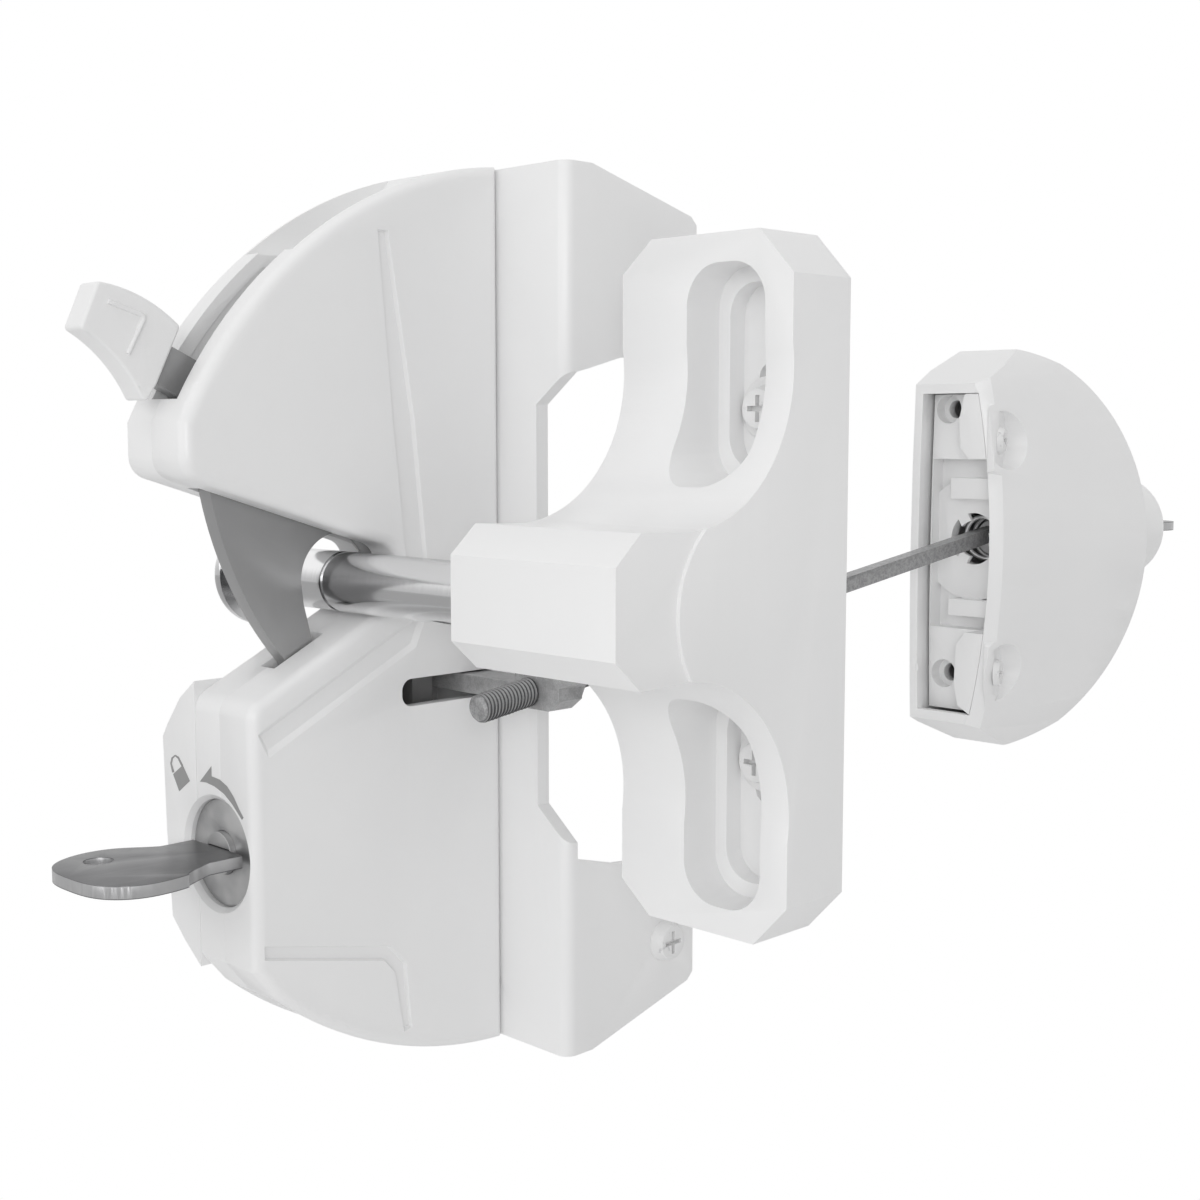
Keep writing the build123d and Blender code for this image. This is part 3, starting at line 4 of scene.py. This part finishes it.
import bmesh
import bpy
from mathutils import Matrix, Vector

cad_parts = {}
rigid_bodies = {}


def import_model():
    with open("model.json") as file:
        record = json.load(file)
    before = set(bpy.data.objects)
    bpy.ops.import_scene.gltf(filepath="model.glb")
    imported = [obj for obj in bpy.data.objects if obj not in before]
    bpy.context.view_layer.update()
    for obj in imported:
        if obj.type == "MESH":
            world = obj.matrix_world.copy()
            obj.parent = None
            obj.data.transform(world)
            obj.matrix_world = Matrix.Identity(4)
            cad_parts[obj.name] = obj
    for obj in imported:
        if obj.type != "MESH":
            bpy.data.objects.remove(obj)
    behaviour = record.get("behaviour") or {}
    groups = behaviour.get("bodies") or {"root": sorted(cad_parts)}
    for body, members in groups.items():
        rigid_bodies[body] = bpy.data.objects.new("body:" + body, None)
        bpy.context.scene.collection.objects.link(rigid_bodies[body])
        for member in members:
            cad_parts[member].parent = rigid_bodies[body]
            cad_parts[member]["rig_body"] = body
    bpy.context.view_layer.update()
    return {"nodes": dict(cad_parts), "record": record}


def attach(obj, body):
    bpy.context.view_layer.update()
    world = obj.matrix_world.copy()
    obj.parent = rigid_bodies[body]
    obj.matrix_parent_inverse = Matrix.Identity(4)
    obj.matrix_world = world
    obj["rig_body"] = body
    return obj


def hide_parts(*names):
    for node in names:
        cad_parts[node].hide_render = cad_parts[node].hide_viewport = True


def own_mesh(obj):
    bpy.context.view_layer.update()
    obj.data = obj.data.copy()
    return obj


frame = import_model()
MM = 0.001
PER_METRE = 1000.0

# Places that finishes and pieces go by, in millimetres, in the frame of the solids
BAR_Y, BAR_Z = -35.5, 8.0
LOCK_X, LOCK_Z, LOCK_FACE_Y = -12.0, -39.5, -60.8
KEY_HEIGHTS, KEY_THICKNESS = (LOCK_Z, 9.2), 2.3
# The hook's painted shade is darkest at the first height and fades out over the span below it
HOOK_TOP_Z, HOOK_SHADE_FADE = 20.0, 32.0
GRIP_FLANK_X = -6.75

# Rod and its thread, in millimetres: the slope is the rise for each millimetre along Y
ROD_X, ROD_TIP_Y, ROD_TIP_Z, ROD_SLOPE = 19.2, -26.3, -13.9, 0.143
STUD_RADIUS, STUD_LENGTH = 2.5, 38.0
THREAD_PITCH, THREAD_START, THREAD_RIDGE = 0.8, 0.9, 0.21
TURN_STEPS, RIDGE_SIDES = 20, 4

# Most noise lies in this span, which a finish stretches to go from 0 to 1
NOISE_LOW, NOISE_HIGH = 0.3, 0.7

# Where a Mix node keeps its two colours and the colour that it makes
MIX_INPUTS, MIX_OUTPUT = (6, 7), 2


# Node trees
class Value:
    """A number socket that takes part in ordinary expressions."""

    def __init__(self, nodes, socket):
        self.nodes = nodes
        self.socket = socket

    def math(self, operation, other=None, swap=False):
        """A Math node on this value, or on this value and another."""
        first, second = (other, self) if swap else (self, other)
        sockets = {0: first} if other is None else {0: first, 1: second}
        return self.nodes.value("ShaderNodeMath", {"operation": operation}, sockets)

    def __add__(self, other):
        return self.math("ADD", other)

    __radd__ = __add__

    def __sub__(self, other):
        return self.math("SUBTRACT", other)

    def __rsub__(self, other):
        return self.math("SUBTRACT", other, swap=True)

    def __mul__(self, other):
        return self.math("MULTIPLY", other)

    __rmul__ = __mul__

    def step(self, low, high):
        """Smooth rise from 0 at low to 1 at high."""
        settings = {"interpolation_type": "SMOOTHSTEP"}
        sockets = {"Value": self, "From Min": low, "From Max": high}
        return self.nodes.value("ShaderNodeMapRange", settings, sockets)

    def spread(self):
        """Noise stretched to go all the way from 0 to 1."""
        return self.step(NOISE_LOW, NOISE_HIGH)

    def wave(self):
        """Wave between 0 and 1, for an angle in radians."""
        return self.math("SINE") * 0.5 + 0.5


class Nodes:
    """A node tree under construction, with one way to add a node and one to feed an input."""

    def __init__(self, tree):
        self.tree = tree

    def put(self, node, socket, value):
        """Links or sets one input of a node."""
        target = node.inputs[socket]
        if isinstance(value, Value):
            value = value.socket
        if isinstance(value, bpy.types.NodeSocket):
            self.tree.links.new(value, target)
        else:
            target.default_value = value

    def node(self, kind, settings, sockets):
        """Adds a node, with its settings made before its inputs."""
        node = self.tree.nodes.new(kind)
        for name, value in settings.items():
            setattr(node, name, value)
        for name, value in sockets.items():
            self.put(node, name, value)
        return node

    def value(self, kind, settings, sockets):
        """Adds a node and gives its first output as a value."""
        return Value(self, self.node(kind, settings, sockets).outputs[0])


# Materials
class Paint(Nodes):
    """A material under construction, with one shader."""

    def __init__(self, name, color, roughness, metallic=0.0, **fixed):
        self.material = bpy.data.materials.new(name)
        self.material.use_nodes = True
        super().__init__(self.material.node_tree)
        self.shader = self.tree.nodes["Principled BSDF"]
        sockets = {"Base Color": (*color, 1.0), "Roughness": roughness, "Metallic": metallic, **fixed}
        for socket, value in sockets.items():
            self.put(self.shader, socket, value)

    def place(self):
        """Object coordinates in metres."""
        return self.node("ShaderNodeTexCoord", {}, {}).outputs["Object"]

    def along(self, axis):
        """One object coordinate in millimetres, as a value."""
        split = self.node("ShaderNodeSeparateXYZ", {}, {"Vector": self.place()})
        return Value(self, split.outputs[axis]) * PER_METRE

    def noise(self, size_mm, detail=2.0, stretch=(1.0, 1.0, 1.0)):
        """Even noise between about 0 and 1, with spots of the given size."""
        scale = [part * PER_METRE / size_mm for part in stretch]
        mapped = self.node("ShaderNodeMapping", {}, {"Vector": self.place(), "Scale": scale})
        sockets = {"Vector": mapped.outputs[0], "Scale": 1.0, "Detail": detail}
        return self.value("ShaderNodeTexNoise", {}, sockets)

    def mix(self, factor, first, second):
        """Colour between two colours."""
        node = self.node("ShaderNodeMix", {"data_type": "RGBA"}, {0: factor})
        for index, color in zip(MIX_INPUTS, (first, second)):
            self.put(node, index, (*color, 1.0) if isinstance(color, tuple) else color)
        return node.outputs[MIX_OUTPUT]

    def finish(self, color, roughness, relief=None, depth_mm=0.0):
        """Sets what changes over the surface, with relief of the given depth, and gives the material."""
        self.put(self.shader, "Base Color", color)
        self.put(self.shader, "Roughness", roughness)
        if relief is not None:
            sockets = {"Height": relief * (depth_mm * MM), "Strength": 1.0, "Distance": 1.0}
            bump = self.node("ShaderNodeBump", {}, sockets)
            self.put(self.shader, "Normal", bump.outputs[0])
        return self.material


def moulded_white():
    """Glossy white nylon: fine moulding grain and faint flow clouds."""
    paint = Paint("moulded_white", (0.88, 0.88, 0.88), 0.3, IOR=1.5)
    cloud = paint.noise(38.0, detail=3.0)
    grain = paint.noise(0.55, detail=1.0)
    color = paint.mix(cloud.spread(), (0.872, 0.872, 0.874), (0.888, 0.888, 0.888))
    return paint.finish(color, 0.27 + cloud * 0.06 + grain * 0.04, grain, 0.012)


def coated_white():
    """White powder coat on metal, with the coat's orange peel."""
    paint = Paint("coated_white", (0.89, 0.89, 0.89), 0.3, IOR=1.5)
    cloud = paint.noise(30.0)
    peel = paint.noise(1.1)
    color = paint.mix(cloud.spread(), (0.882, 0.882, 0.884), (0.898, 0.898, 0.898))
    return paint.finish(color, 0.26 + cloud * 0.08 + peel * 0.05, peel, 0.02)


def coated_screw():
    """White coat on screw heads, worn a little in spots."""
    paint = Paint("coated_screw", (0.8, 0.8, 0.8), 0.35)
    worn = paint.noise(1.6, detail=3.0).step(0.60, 0.78)
    color = paint.mix(worn, (0.82, 0.82, 0.82), (0.55, 0.55, 0.56))
    return paint.finish(color, 0.32 + worn * 0.15)


def hook_metal():
    """Smooth grey cast hook with soft casting clouds, and painted shade that darkens its upper part, so
    it grows lighter towards its lower end.
    """
    paint = Paint("hook_metal", (0.31, 0.31, 0.31), 0.36, metallic=0.35)
    # Painted shade: 0 at the hook's upper part, rising to 1 lower down, where it gives the lighter
    # colour
    painted_shade_fade = (HOOK_TOP_Z - paint.along("Z")).step(0.0, HOOK_SHADE_FADE)
    cloud = paint.noise(22.0)
    color = paint.mix(cloud * 0.35 + painted_shade_fade * 0.65, (0.285, 0.285, 0.288), (0.42, 0.42, 0.422))
    return paint.finish(color, 0.33 + cloud * 0.08, paint.noise(0.9), 0.01)


def zinc_coat(paint, speck_mm):
    """Spangle, speck and blended tone of a zinc coat, as values."""
    spangle = paint.noise(1.3)
    speck = paint.noise(speck_mm, detail=1.0)
    return spangle, speck, (spangle * 0.55 + speck * 0.45).spread()


def galvanised():
    """Mottled zinc on the arm, the nut and the moving parts inside."""
    paint = Paint("galvanised", (0.35, 0.35, 0.35), 0.5, metallic=0.3)
    spangle, speck, tone = zinc_coat(paint, 0.3)
    color = paint.mix(tone, (0.34, 0.34, 0.343), (0.5, 0.5, 0.505))
    return paint.finish(color, 0.36 + spangle * 0.2, speck, 0.006)


def rod_zinc():
    """Zinc of the rod, with painted shade in the roots and a painted highlight on the crests of the
    thread on its stud.
    """
    paint = Paint("rod_zinc", (0.3, 0.3, 0.3), 0.45, metallic=0.4)
    spangle, speck, tone = zinc_coat(paint, 0.4)
    plain = paint.mix(tone, (0.24, 0.24, 0.243), (0.42, 0.42, 0.425))
    y = paint.along("Y")
    # Painted shade and highlight: a wave along the stud darkens the thread's roots and lightens its
    # crests
    crest = (y * (2.0 * math.pi / THREAD_PITCH)).wave()
    thread_shade_and_highlight = (crest * 0.75 + speck * 0.25).step(0.3, 0.85)
    thread = paint.mix(thread_shade_and_highlight, (0.08, 0.08, 0.082), (0.4, 0.4, 0.405))
    before_end = (ROD_TIP_Y + STUD_LENGTH - y).step(0.0, 0.5)
    past_tip = (y - ROD_TIP_Y).step(0.3, 0.8)
    color = paint.mix(before_end * past_tip, plain, thread)
    return paint.finish(color, 0.36 + spangle * 0.2, speck, 0.008)


def turned_chrome():
    """Bright chrome with a painted reflection in long soft streaks of light and dark round the bar, and
    faint lines along the bar.
    """
    paint = Paint("turned_chrome", (0.75, 0.75, 0.76), 0.1, metallic=1.0)
    lines = paint.noise(0.35, detail=1.0, stretch=(1.0, 0.05, 0.05))
    # Painted reflection: bands of light and dark by the angle round the bar's axis stand for the studio
    # mirrored in the chrome
    angle = (paint.along("Z") - BAR_Z).math("ARCTAN2", paint.along("Y") - BAR_Y)
    reflection_band_count, reflection_band_turn = 3.0, 0.9
    painted_reflection = (angle * reflection_band_count + reflection_band_turn).wave()
    # Mostly the painted reflection, with the real turning lines mixed in a little
    tone = (painted_reflection * 0.85 + lines * 0.15).step(0.2, 0.8)
    color = paint.mix(tone, (0.48, 0.48, 0.485), (0.86, 0.86, 0.865))
    return paint.finish(color, 0.1 + lines * 0.08)


def satin_steel():
    """Satin steel of the keys: dark faces, and a painted highlight that makes the edges lighter."""
    paint = Paint("satin_steel", (0.3, 0.3, 0.3), 0.35, metallic=0.85)
    z = paint.along("Z")
    inside, outside = [(z - height).math("ABSOLUTE") for height in KEY_HEIGHTS]
    half = KEY_THICKNESS / 2.0
    highlight_under, face_over = half - 0.22, half - 0.05
    face = inside.math("MINIMUM", outside).step(highlight_under, face_over)
    marks = paint.noise(0.9, stretch=(1.0, 0.08, 0.0))
    cloud = paint.noise(9.0)
    tone = (marks * 0.4 + cloud * 0.6).spread()
    rolled = paint.mix(tone, (0.135, 0.135, 0.139), (0.2, 0.2, 0.204))
    # Painted highlight: a lighter copy of the same steel on the key's edges
    edge_highlight = paint.mix(tone, (0.42, 0.42, 0.425), (0.54, 0.54, 0.545))
    return paint.finish(paint.mix(face, edge_highlight, rolled), 0.3 + marks * 0.12, marks, 0.004)


def lock_metal():
    """Die cast lock front with fine lathe rings round its axis."""
    paint = Paint("lock_metal", (0.33, 0.33, 0.33), 0.36, metallic=0.75)
    across = paint.along("X") - LOCK_X
    up = paint.along("Z") - LOCK_Z
    radians_per_mm = 21.0
    rings = ((across * across + up * up).math("SQRT") * radians_per_mm).wave()
    color = paint.mix(paint.noise(6.0).spread(), (0.34, 0.34, 0.345), (0.48, 0.48, 0.48))
    return paint.finish(color, 0.3 + rings * 0.1, rings, 0.008)


def clouded(paint, cloud_mm, dark, light, roughness, roughness_rise):
    """Finish whose tone and gloss drift together in soft clouds."""
    cloud = paint.noise(cloud_mm)
    return paint.finish(paint.mix(cloud, dark, light), roughness + cloud * roughness_rise)


def plain_steel():
    """Zinc plated steel of the small screws, the pin and the hook's spring."""
    paint = Paint("plain_steel", (0.5, 0.5, 0.5), 0.35, metallic=0.9)
    return clouded(paint, 2.5, (0.42, 0.42, 0.43), (0.6, 0.6, 0.6), 0.3, 0.15)


def spring_steel():
    """Drawn wire of the button's spring, painted much lighter than the plain steel as painted light that
    offsets the shade of its bore.
    """
    paint = Paint("spring_steel", (0.85, 0.85, 0.85), 0.3, metallic=0.5)
    return clouded(paint, 2.0, (0.8, 0.8, 0.81), (0.92, 0.92, 0.92), 0.26, 0.1)


def plain_brass():
    """Brass of the street side lock plug."""
    paint = Paint("plain_brass", (0.6, 0.5, 0.28), 0.35, metallic=0.9)
    return clouded(paint, 3.0, (0.5, 0.42, 0.24), (0.66, 0.56, 0.34), 0.3, 0.15)


def printed_grey():
    """Grey print of the pictures beside the lock."""
    paint = Paint("printed_grey", (0.2, 0.2, 0.2), 0.45)
    return clouded(paint, 1.5, (0.28, 0.28, 0.28), (0.32, 0.32, 0.32), 0.42, 0.08)


FINISH = {
    "white_plastic": moulded_white(),
    "white_metal": coated_white(),
    "hook_metal": hook_metal(),
    "zinc": galvanised(),
    "bright": turned_chrome(),
    "steel": plain_steel(),
    "screw_white": coated_screw(),
    "lock_metal": lock_metal(),
    "lock_brass": plain_brass(),
}
KEY_STEEL = satin_steel()
ROD_ZINC = rod_zinc()
PRINT = printed_grey()
NODE_SLOT = {part["node"]: part["material_slot"] for part in frame["record"]["subparts"]}


# Objects and meshes
def put_in_scene(name, data):
    """A new object in the scene, at the origin."""
    thing = bpy.data.objects.new(name, data)
    bpy.context.scene.collection.objects.link(thing)
    return thing


def plain_mesh(holder):
    """What a curve or a tree of nodes makes, as a mesh; its holder goes."""
    bpy.context.view_layer.update()
    made = holder.evaluated_get(bpy.context.evaluated_depsgraph_get())
    mesh = bpy.data.meshes.new_from_object(made)
    bpy.data.objects.remove(holder)
    return mesh


def add_piece(name, mesh, body):
    """A piece of its own that rides on a body."""
    piece = put_in_scene(name, mesh)
    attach(piece, body)


# Skins of the solids, each with the width of its rounded edges in millimetres
ROUNDED = {
    "mounting_bracket": 0.5,
    "near_shell": 0.35,
    "far_shell": 0.35,
    "latch_hook": 0.45,
    "thumb_grip": 0.3,
    "striker_body": 0.6,
    "outer_cover": 0.4,
    "outer_base": 0.12,
    "push_button": 0.3,
    "lock_sleeve": 0.25,
    "lock_plug": 0.2,
    "inside_key": 0.3,
    "outer_key": 0.3,
    "push_arm": 0.3,
    "push_rod": 0.0,
    "rod_locknut": 0.25,
    "strike_bar": 0.0,
    "striker_screws": 0.15,
    "post_screws": 0.15,
    "striker_washers": 0.15,
    "cover_screws": 0.12,
    "button_spring": 0.0,
}
OWN_FINISH = {
    "inside_key": KEY_STEEL,
    "outer_key": KEY_STEEL,
    "push_rod": ROD_ZINC,
    "button_spring": spring_steel(),
}
WELD_MM = 0.002
FLAT_ANGLE = math.radians(0.6)
SHARP_ANGLE = math.radians(28.0)
EDGE_STEPS = 3


def finish_node(name, material):
    """Gives a solid of the frame its finish."""
    slots = frame["nodes"][name].data.materials
    slots.clear()
    slots.append(material)


def merged_copy(mesh):
    """Smooth copy of a solid's mesh, with its corners joined and its flat faces made whole."""
    copy = mesh.copy()
    work = bmesh.new()
    work.from_mesh(copy)
    bmesh.ops.remove_doubles(work, verts=work.verts, dist=WELD_MM * MM)
    bmesh.ops.dissolve_limit(work, angle_limit=FLAT_ANGLE, verts=work.verts, edges=work.edges)
    for face in work.faces:
        face.smooth = True
    work.to_mesh(copy)
    work.free()
    return copy


def skin(name, edge_mm, material):
    """A copy of a solid with its edges rounded, which then stands for it."""
    source = frame["nodes"][name]
    mesh = merged_copy(source.data)
    mesh.materials.clear()
    mesh.materials.append(material)
    piece = put_in_scene(name + "_skin", mesh)
    if edge_mm:
        bevel = piece.modifiers.new("edges", "BEVEL")
        bevel.width = edge_mm * MM
        bevel.segments = EDGE_STEPS
        bevel.limit_method = "ANGLE"
        bevel.angle_limit = SHARP_ANGLE
        bevel.use_clamp_overlap = True
        bevel.harden_normals = True
    else:
        mesh.set_sharp_from_angle(angle=SHARP_ANGLE)
    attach(piece, source["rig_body"])
    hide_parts(name)
    return piece


for node_name in frame["nodes"]:
    finish_node(node_name, FINISH[NODE_SLOT[node_name]])
skins = {}
for node_name, edge in ROUNDED.items():
    own = OWN_FINISH.get(node_name, FINISH[NODE_SLOT[node_name]])
    skins[node_name] = skin(node_name, edge, own)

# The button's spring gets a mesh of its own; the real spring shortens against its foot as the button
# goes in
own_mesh(skins["button_spring"])


# Thread of the rod's end, a helix that a tree of geometry nodes winds along the stud
class Tree(Nodes):
    """A tree of geometry nodes under construction, with its sizes as named inputs."""

    def __init__(self, name, sizes):
        super().__init__(bpy.data.node_groups.new(name, "GeometryNodeTree"))
        self.inputs = {}
        for label, value in sizes.items():
            socket = self.tree.interface.new_socket(label, in_out="INPUT", socket_type="NodeSocketFloat")
            self.inputs[socket.identifier] = value
        self.tree.interface.new_socket("Geometry", in_out="OUTPUT", socket_type="NodeSocketGeometry")
        self.source = self.tree.nodes.new("NodeGroupInput")

    def size(self, label):
        """A named input, as a value."""
        return Value(self, self.source.outputs[label])

    def shape(self, kind, sockets):
        """Adds a node and gives the geometry that it makes."""
        return self.node(kind, {}, sockets).outputs[0]

    def build(self, geometry, material):
        """Ends the tree and gives what it makes as a plain mesh."""
        real = self.shape("GeometryNodeRealizeInstances", {"Geometry": geometry})
        painted = self.shape("GeometryNodeSetMaterial", {"Geometry": real, "Material": material})
        self.node("NodeGroupOutput", {}, {"Geometry": painted})
        name = self.tree.name
        holder = put_in_scene(name + "_tree", bpy.data.meshes.new(name + "_tree"))
        modifier = holder.modifiers.new(name, "NODES")
        modifier.node_group = self.tree
        for identifier, value in self.inputs.items():
            modifier[identifier] = value
        return plain_mesh(holder)


def rod_thread():
    """Thread ridge on the stud, from its tip to the end of the round part."""
    turns = (STUD_LENGTH - THREAD_START) / THREAD_PITCH
    sizes = {
        "Radius": STUD_RADIUS * MM,
        "Pitch": THREAD_PITCH * MM,
        "Turns": turns,
        "Ridge": THREAD_RIDGE * MM,
    }
    tree = Tree("rod_thread", sizes)
    spiral = {
        "Resolution": TURN_STEPS,
        "Rotations": tree.size("Turns"),
        "Start Radius": tree.size("Radius"),
        "End Radius": tree.size("Radius"),
        "Height": tree.size("Pitch") * tree.size("Turns"),
    }
    helix = tree.shape("GeometryNodeCurveSpiral", spiral)
    start_z = ROD_TIP_Z + THREAD_START * ROD_SLOPE
    start = (ROD_X * MM, (ROD_TIP_Y + THREAD_START) * MM, start_z * MM)
    along = Vector((0.0, 1.0, ROD_SLOPE)).to_track_quat("Z", "Y").to_euler()
    laying = {"Geometry": helix, "Translation": start, "Rotation": along}
    laid = tree.shape("GeometryNodeTransform", laying)
    profile = {"Resolution": RIDGE_SIDES, "Radius": tree.size("Ridge")}
    ridge = tree.shape("GeometryNodeCurvePrimitiveCircle", profile)
    winding = {"Curve": laid, "Profile Curve": ridge, "Fill Caps": True}
    wound = tree.shape("GeometryNodeCurveToMesh", winding)
    add_piece("rod_thread", tree.build(wound, ROD_ZINC), "push_train")


rod_thread()


# Raised line moulded on the grip's flank
def grip_line():
    """Round bead in an L, half sunk in the flank that faces the gate."""
    bead_radius, bead_steps = 0.4, 3
    end_angle = math.radians(50)
    spots = [(-81.6, 56.4), (-75.9, 54.65), (-75.35, 54.3), (-75.4, 53.7), (-78.4, 48.1)]
    route = bpy.data.curves.new("grip_line", "CURVE")
    route.dimensions = "3D"
    route.bevel_depth = bead_radius * MM
    route.bevel_resolution = bead_steps
    route.use_fill_caps = True
    spline = route.splines.new("POLY")
    spline.points.add(len(spots) - 1)
    for point, (y, z) in zip(spline.points, spots):
        point.co = (GRIP_FLANK_X * MM, y * MM, z * MM, 1.0)
    mesh = plain_mesh(put_in_scene("grip_line_route", route))
    for face in mesh.polygons:
        face.use_smooth = True
    mesh.set_sharp_from_angle(angle=end_angle)
    mesh.materials.clear()
    mesh.materials.append(FINISH["white_plastic"])
    add_piece("grip_line", mesh, "hook_lever")


grip_line()


# Printed pictures beside the lock: what the key does
PRINT_LIFT = 0.03


def print_patch(name, outlines):
    """Thin print on the lock face; each outline lists X and Z in millimetres."""
    mesh = bpy.data.meshes.new(name)
    work = bmesh.new()
    for outline in outlines:
        corners = [work.verts.new((x * MM, (LOCK_FACE_Y - PRINT_LIFT) * MM, z * MM)) for x, z in outline]
        face = work.faces.new(corners)
        face.normal_update()
        if face.normal.y > 0:
            face.normal_flip()
    work.to_mesh(mesh)
    work.free()
    mesh.materials.append(PRINT)
    add_piece(name, mesh, "latch_base")


def lock_pictures():
    """A padlock and a curved arrow that turns towards it."""
    padlock = [(-25.95, -27.1), (-22.5, -24.9), (-20.2, -27.5), (-23.95, -30.0)]
    shackle = [
        (-26.25, -26.85),
        (-26.85, -25.2),
        (-26.35, -24.05),
        (-25.05, -23.35),
        (-23.8, -23.55),
        (-22.4, -24.9),
        (-23.0, -25.2),
        (-24.2, -23.95),
        (-25.05, -23.65),
        (-25.9, -24.25),
        (-26.25, -25.2),
        (-25.45, -26.65),
    ]
    arrow = [
        (-12.9, -23.7),
        (-12.9, -25.55),
        (-10.3, -25.75),
        (-7.95, -26.6),
        (-5.9, -28.2),
        (-4.3, -30.1),
        (-2.95, -31.4),
        (-3.5, -31.9),
        (-4.55, -31.05),
        (-6.6, -29.5),
        (-9.1, -28.1),
        (-12.1, -27.25),
        (-14.7, -26.95),
        (-16.85, -27.1),
    ]
    print_patch("padlock_print", [padlock, shackle])
    print_patch("arrow_print", [arrow])


lock_pictures()

# Studio, in metres
WORLD_LEVEL = 0.49
FLOOR_Z, FLOOR_HALF = -1.0, 12.0
LATCH_MIDDLE = (0.01, 0.0, 0.0)
SOFTBOX_PLACE, SOFTBOX_SIDE, SOFTBOX_POWER = (0.92, -0.95, 0.22), 0.42, 3.1
SKY_SPREAD = math.radians(60)
YARD_SKY_WAY, YARD_SKY_LEVEL = (0.0, 1.0, -0.15), 0.66
TOP_SKY_WAY, TOP_SKY_LEVEL = (-0.1, 0.1, -1.0), 0.58
CAMERA_PLACE = (0.24189, -0.2187, 0.03589)
CAMERA_DIP_DEG, CAMERA_TURN_DEG = 5.858, 44.893
CAMERA_LENS_MM, CAMERA_SENSOR_MM, CAMERA_NEAR = 50.0, 36.0, 0.01


def add_lamp(name, kind, way, power, settings):
    """A lamp that shines along a direction."""
    lamp = bpy.data.lights.new(name, kind)
    lamp.energy = power
    for label, value in settings.items():
        setattr(lamp, label, value)
    holder = put_in_scene(name, lamp)
    holder.rotation_euler = Vector(way).to_track_quat("-Z", "Y").to_euler()
    return holder


def white_world():
    """World that lights evenly, and shows white to the eye and to mirrors."""
    world = bpy.data.worlds.new("studio")
    world.use_nodes = True
    nodes = Nodes(world.node_tree)
    nodes.tree.nodes.clear()
    path = nodes.node("ShaderNodeLightPath", {}, {})
    seen = Value(nodes, path.outputs["Is Camera Ray"])
    for ray in ("Is Glossy Ray", "Is Transmission Ray"):
        seen = seen.math("MAXIMUM", path.outputs[ray])
    strength = WORLD_LEVEL + seen * (1.0 - WORLD_LEVEL)
    sockets = {"Color": (1.0, 1.0, 1.0, 1.0), "Strength": strength}
    background = nodes.node("ShaderNodeBackground", {}, sockets)
    nodes.node("ShaderNodeOutputWorld", {}, {"Surface": background.outputs[0]})
    bpy.context.scene.world = world


def pale_floor():
    """Wide pale ground far below the latch, white to the eye."""
    mesh = bpy.data.meshes.new("ground")
    signs = ((-1, -1), (1, -1), (1, 1), (-1, 1))
    corners = [(x * FLOOR_HALF, y * FLOOR_HALF, FLOOR_Z) for x, y in signs]
    mesh.from_pydata(corners, [], [(0, 1, 2, 3)])
    paint = Paint("ground_white", (0.9, 0.9, 0.9), 0.9)
    path = paint.node("ShaderNodeLightPath", {}, {})
    glow = paint.node("ShaderNodeEmission", {}, {"Color": (1.0, 1.0, 1.0, 1.0), "Strength": 1.0})
    sockets = {0: path.outputs["Is Camera Ray"], 1: paint.shader.outputs[0], 2: glow.outputs[0]}
    blend = paint.node("ShaderNodeMixShader", {}, sockets)
    paint.put(paint.tree.nodes["Material Output"], "Surface", blend.outputs[0])
    mesh.materials.append(paint.material)
    put_in_scene("ground", mesh)


def studio_lamps():
    """A softbox in front of the latch, and wide sky light from the yard and from above."""
    way = Vector(LATCH_MIDDLE) - Vector(SOFTBOX_PLACE)
    box = {"shape": "RECTANGLE", "size": SOFTBOX_SIDE, "size_y": SOFTBOX_SIDE}
    add_lamp("front_softbox", "AREA", way, SOFTBOX_POWER, box).location = SOFTBOX_PLACE
    sky = {"angle": SKY_SPREAD}
    add_lamp("yard_sky", "SUN", YARD_SKY_WAY, YARD_SKY_LEVEL, sky)
    add_lamp("top_sky", "SUN", TOP_SKY_WAY, TOP_SKY_LEVEL, sky)


def photo_camera():
    """Camera at the photograph's viewpoint."""
    lens = bpy.data.cameras.new("photo_view")
    lens.lens = CAMERA_LENS_MM
    lens.sensor_width = CAMERA_SENSOR_MM
    lens.clip_start = CAMERA_NEAR
    camera = put_in_scene("photo_view", lens)
    camera.location = CAMERA_PLACE
    camera.rotation_euler = (math.radians(90 - CAMERA_DIP_DEG), 0.0, math.radians(CAMERA_TURN_DEG))
    bpy.context.scene.camera = camera


white_world()
pale_floor()
studio_lamps()
photo_camera()
bpy.context.scene.view_settings.view_transform = "Standard"
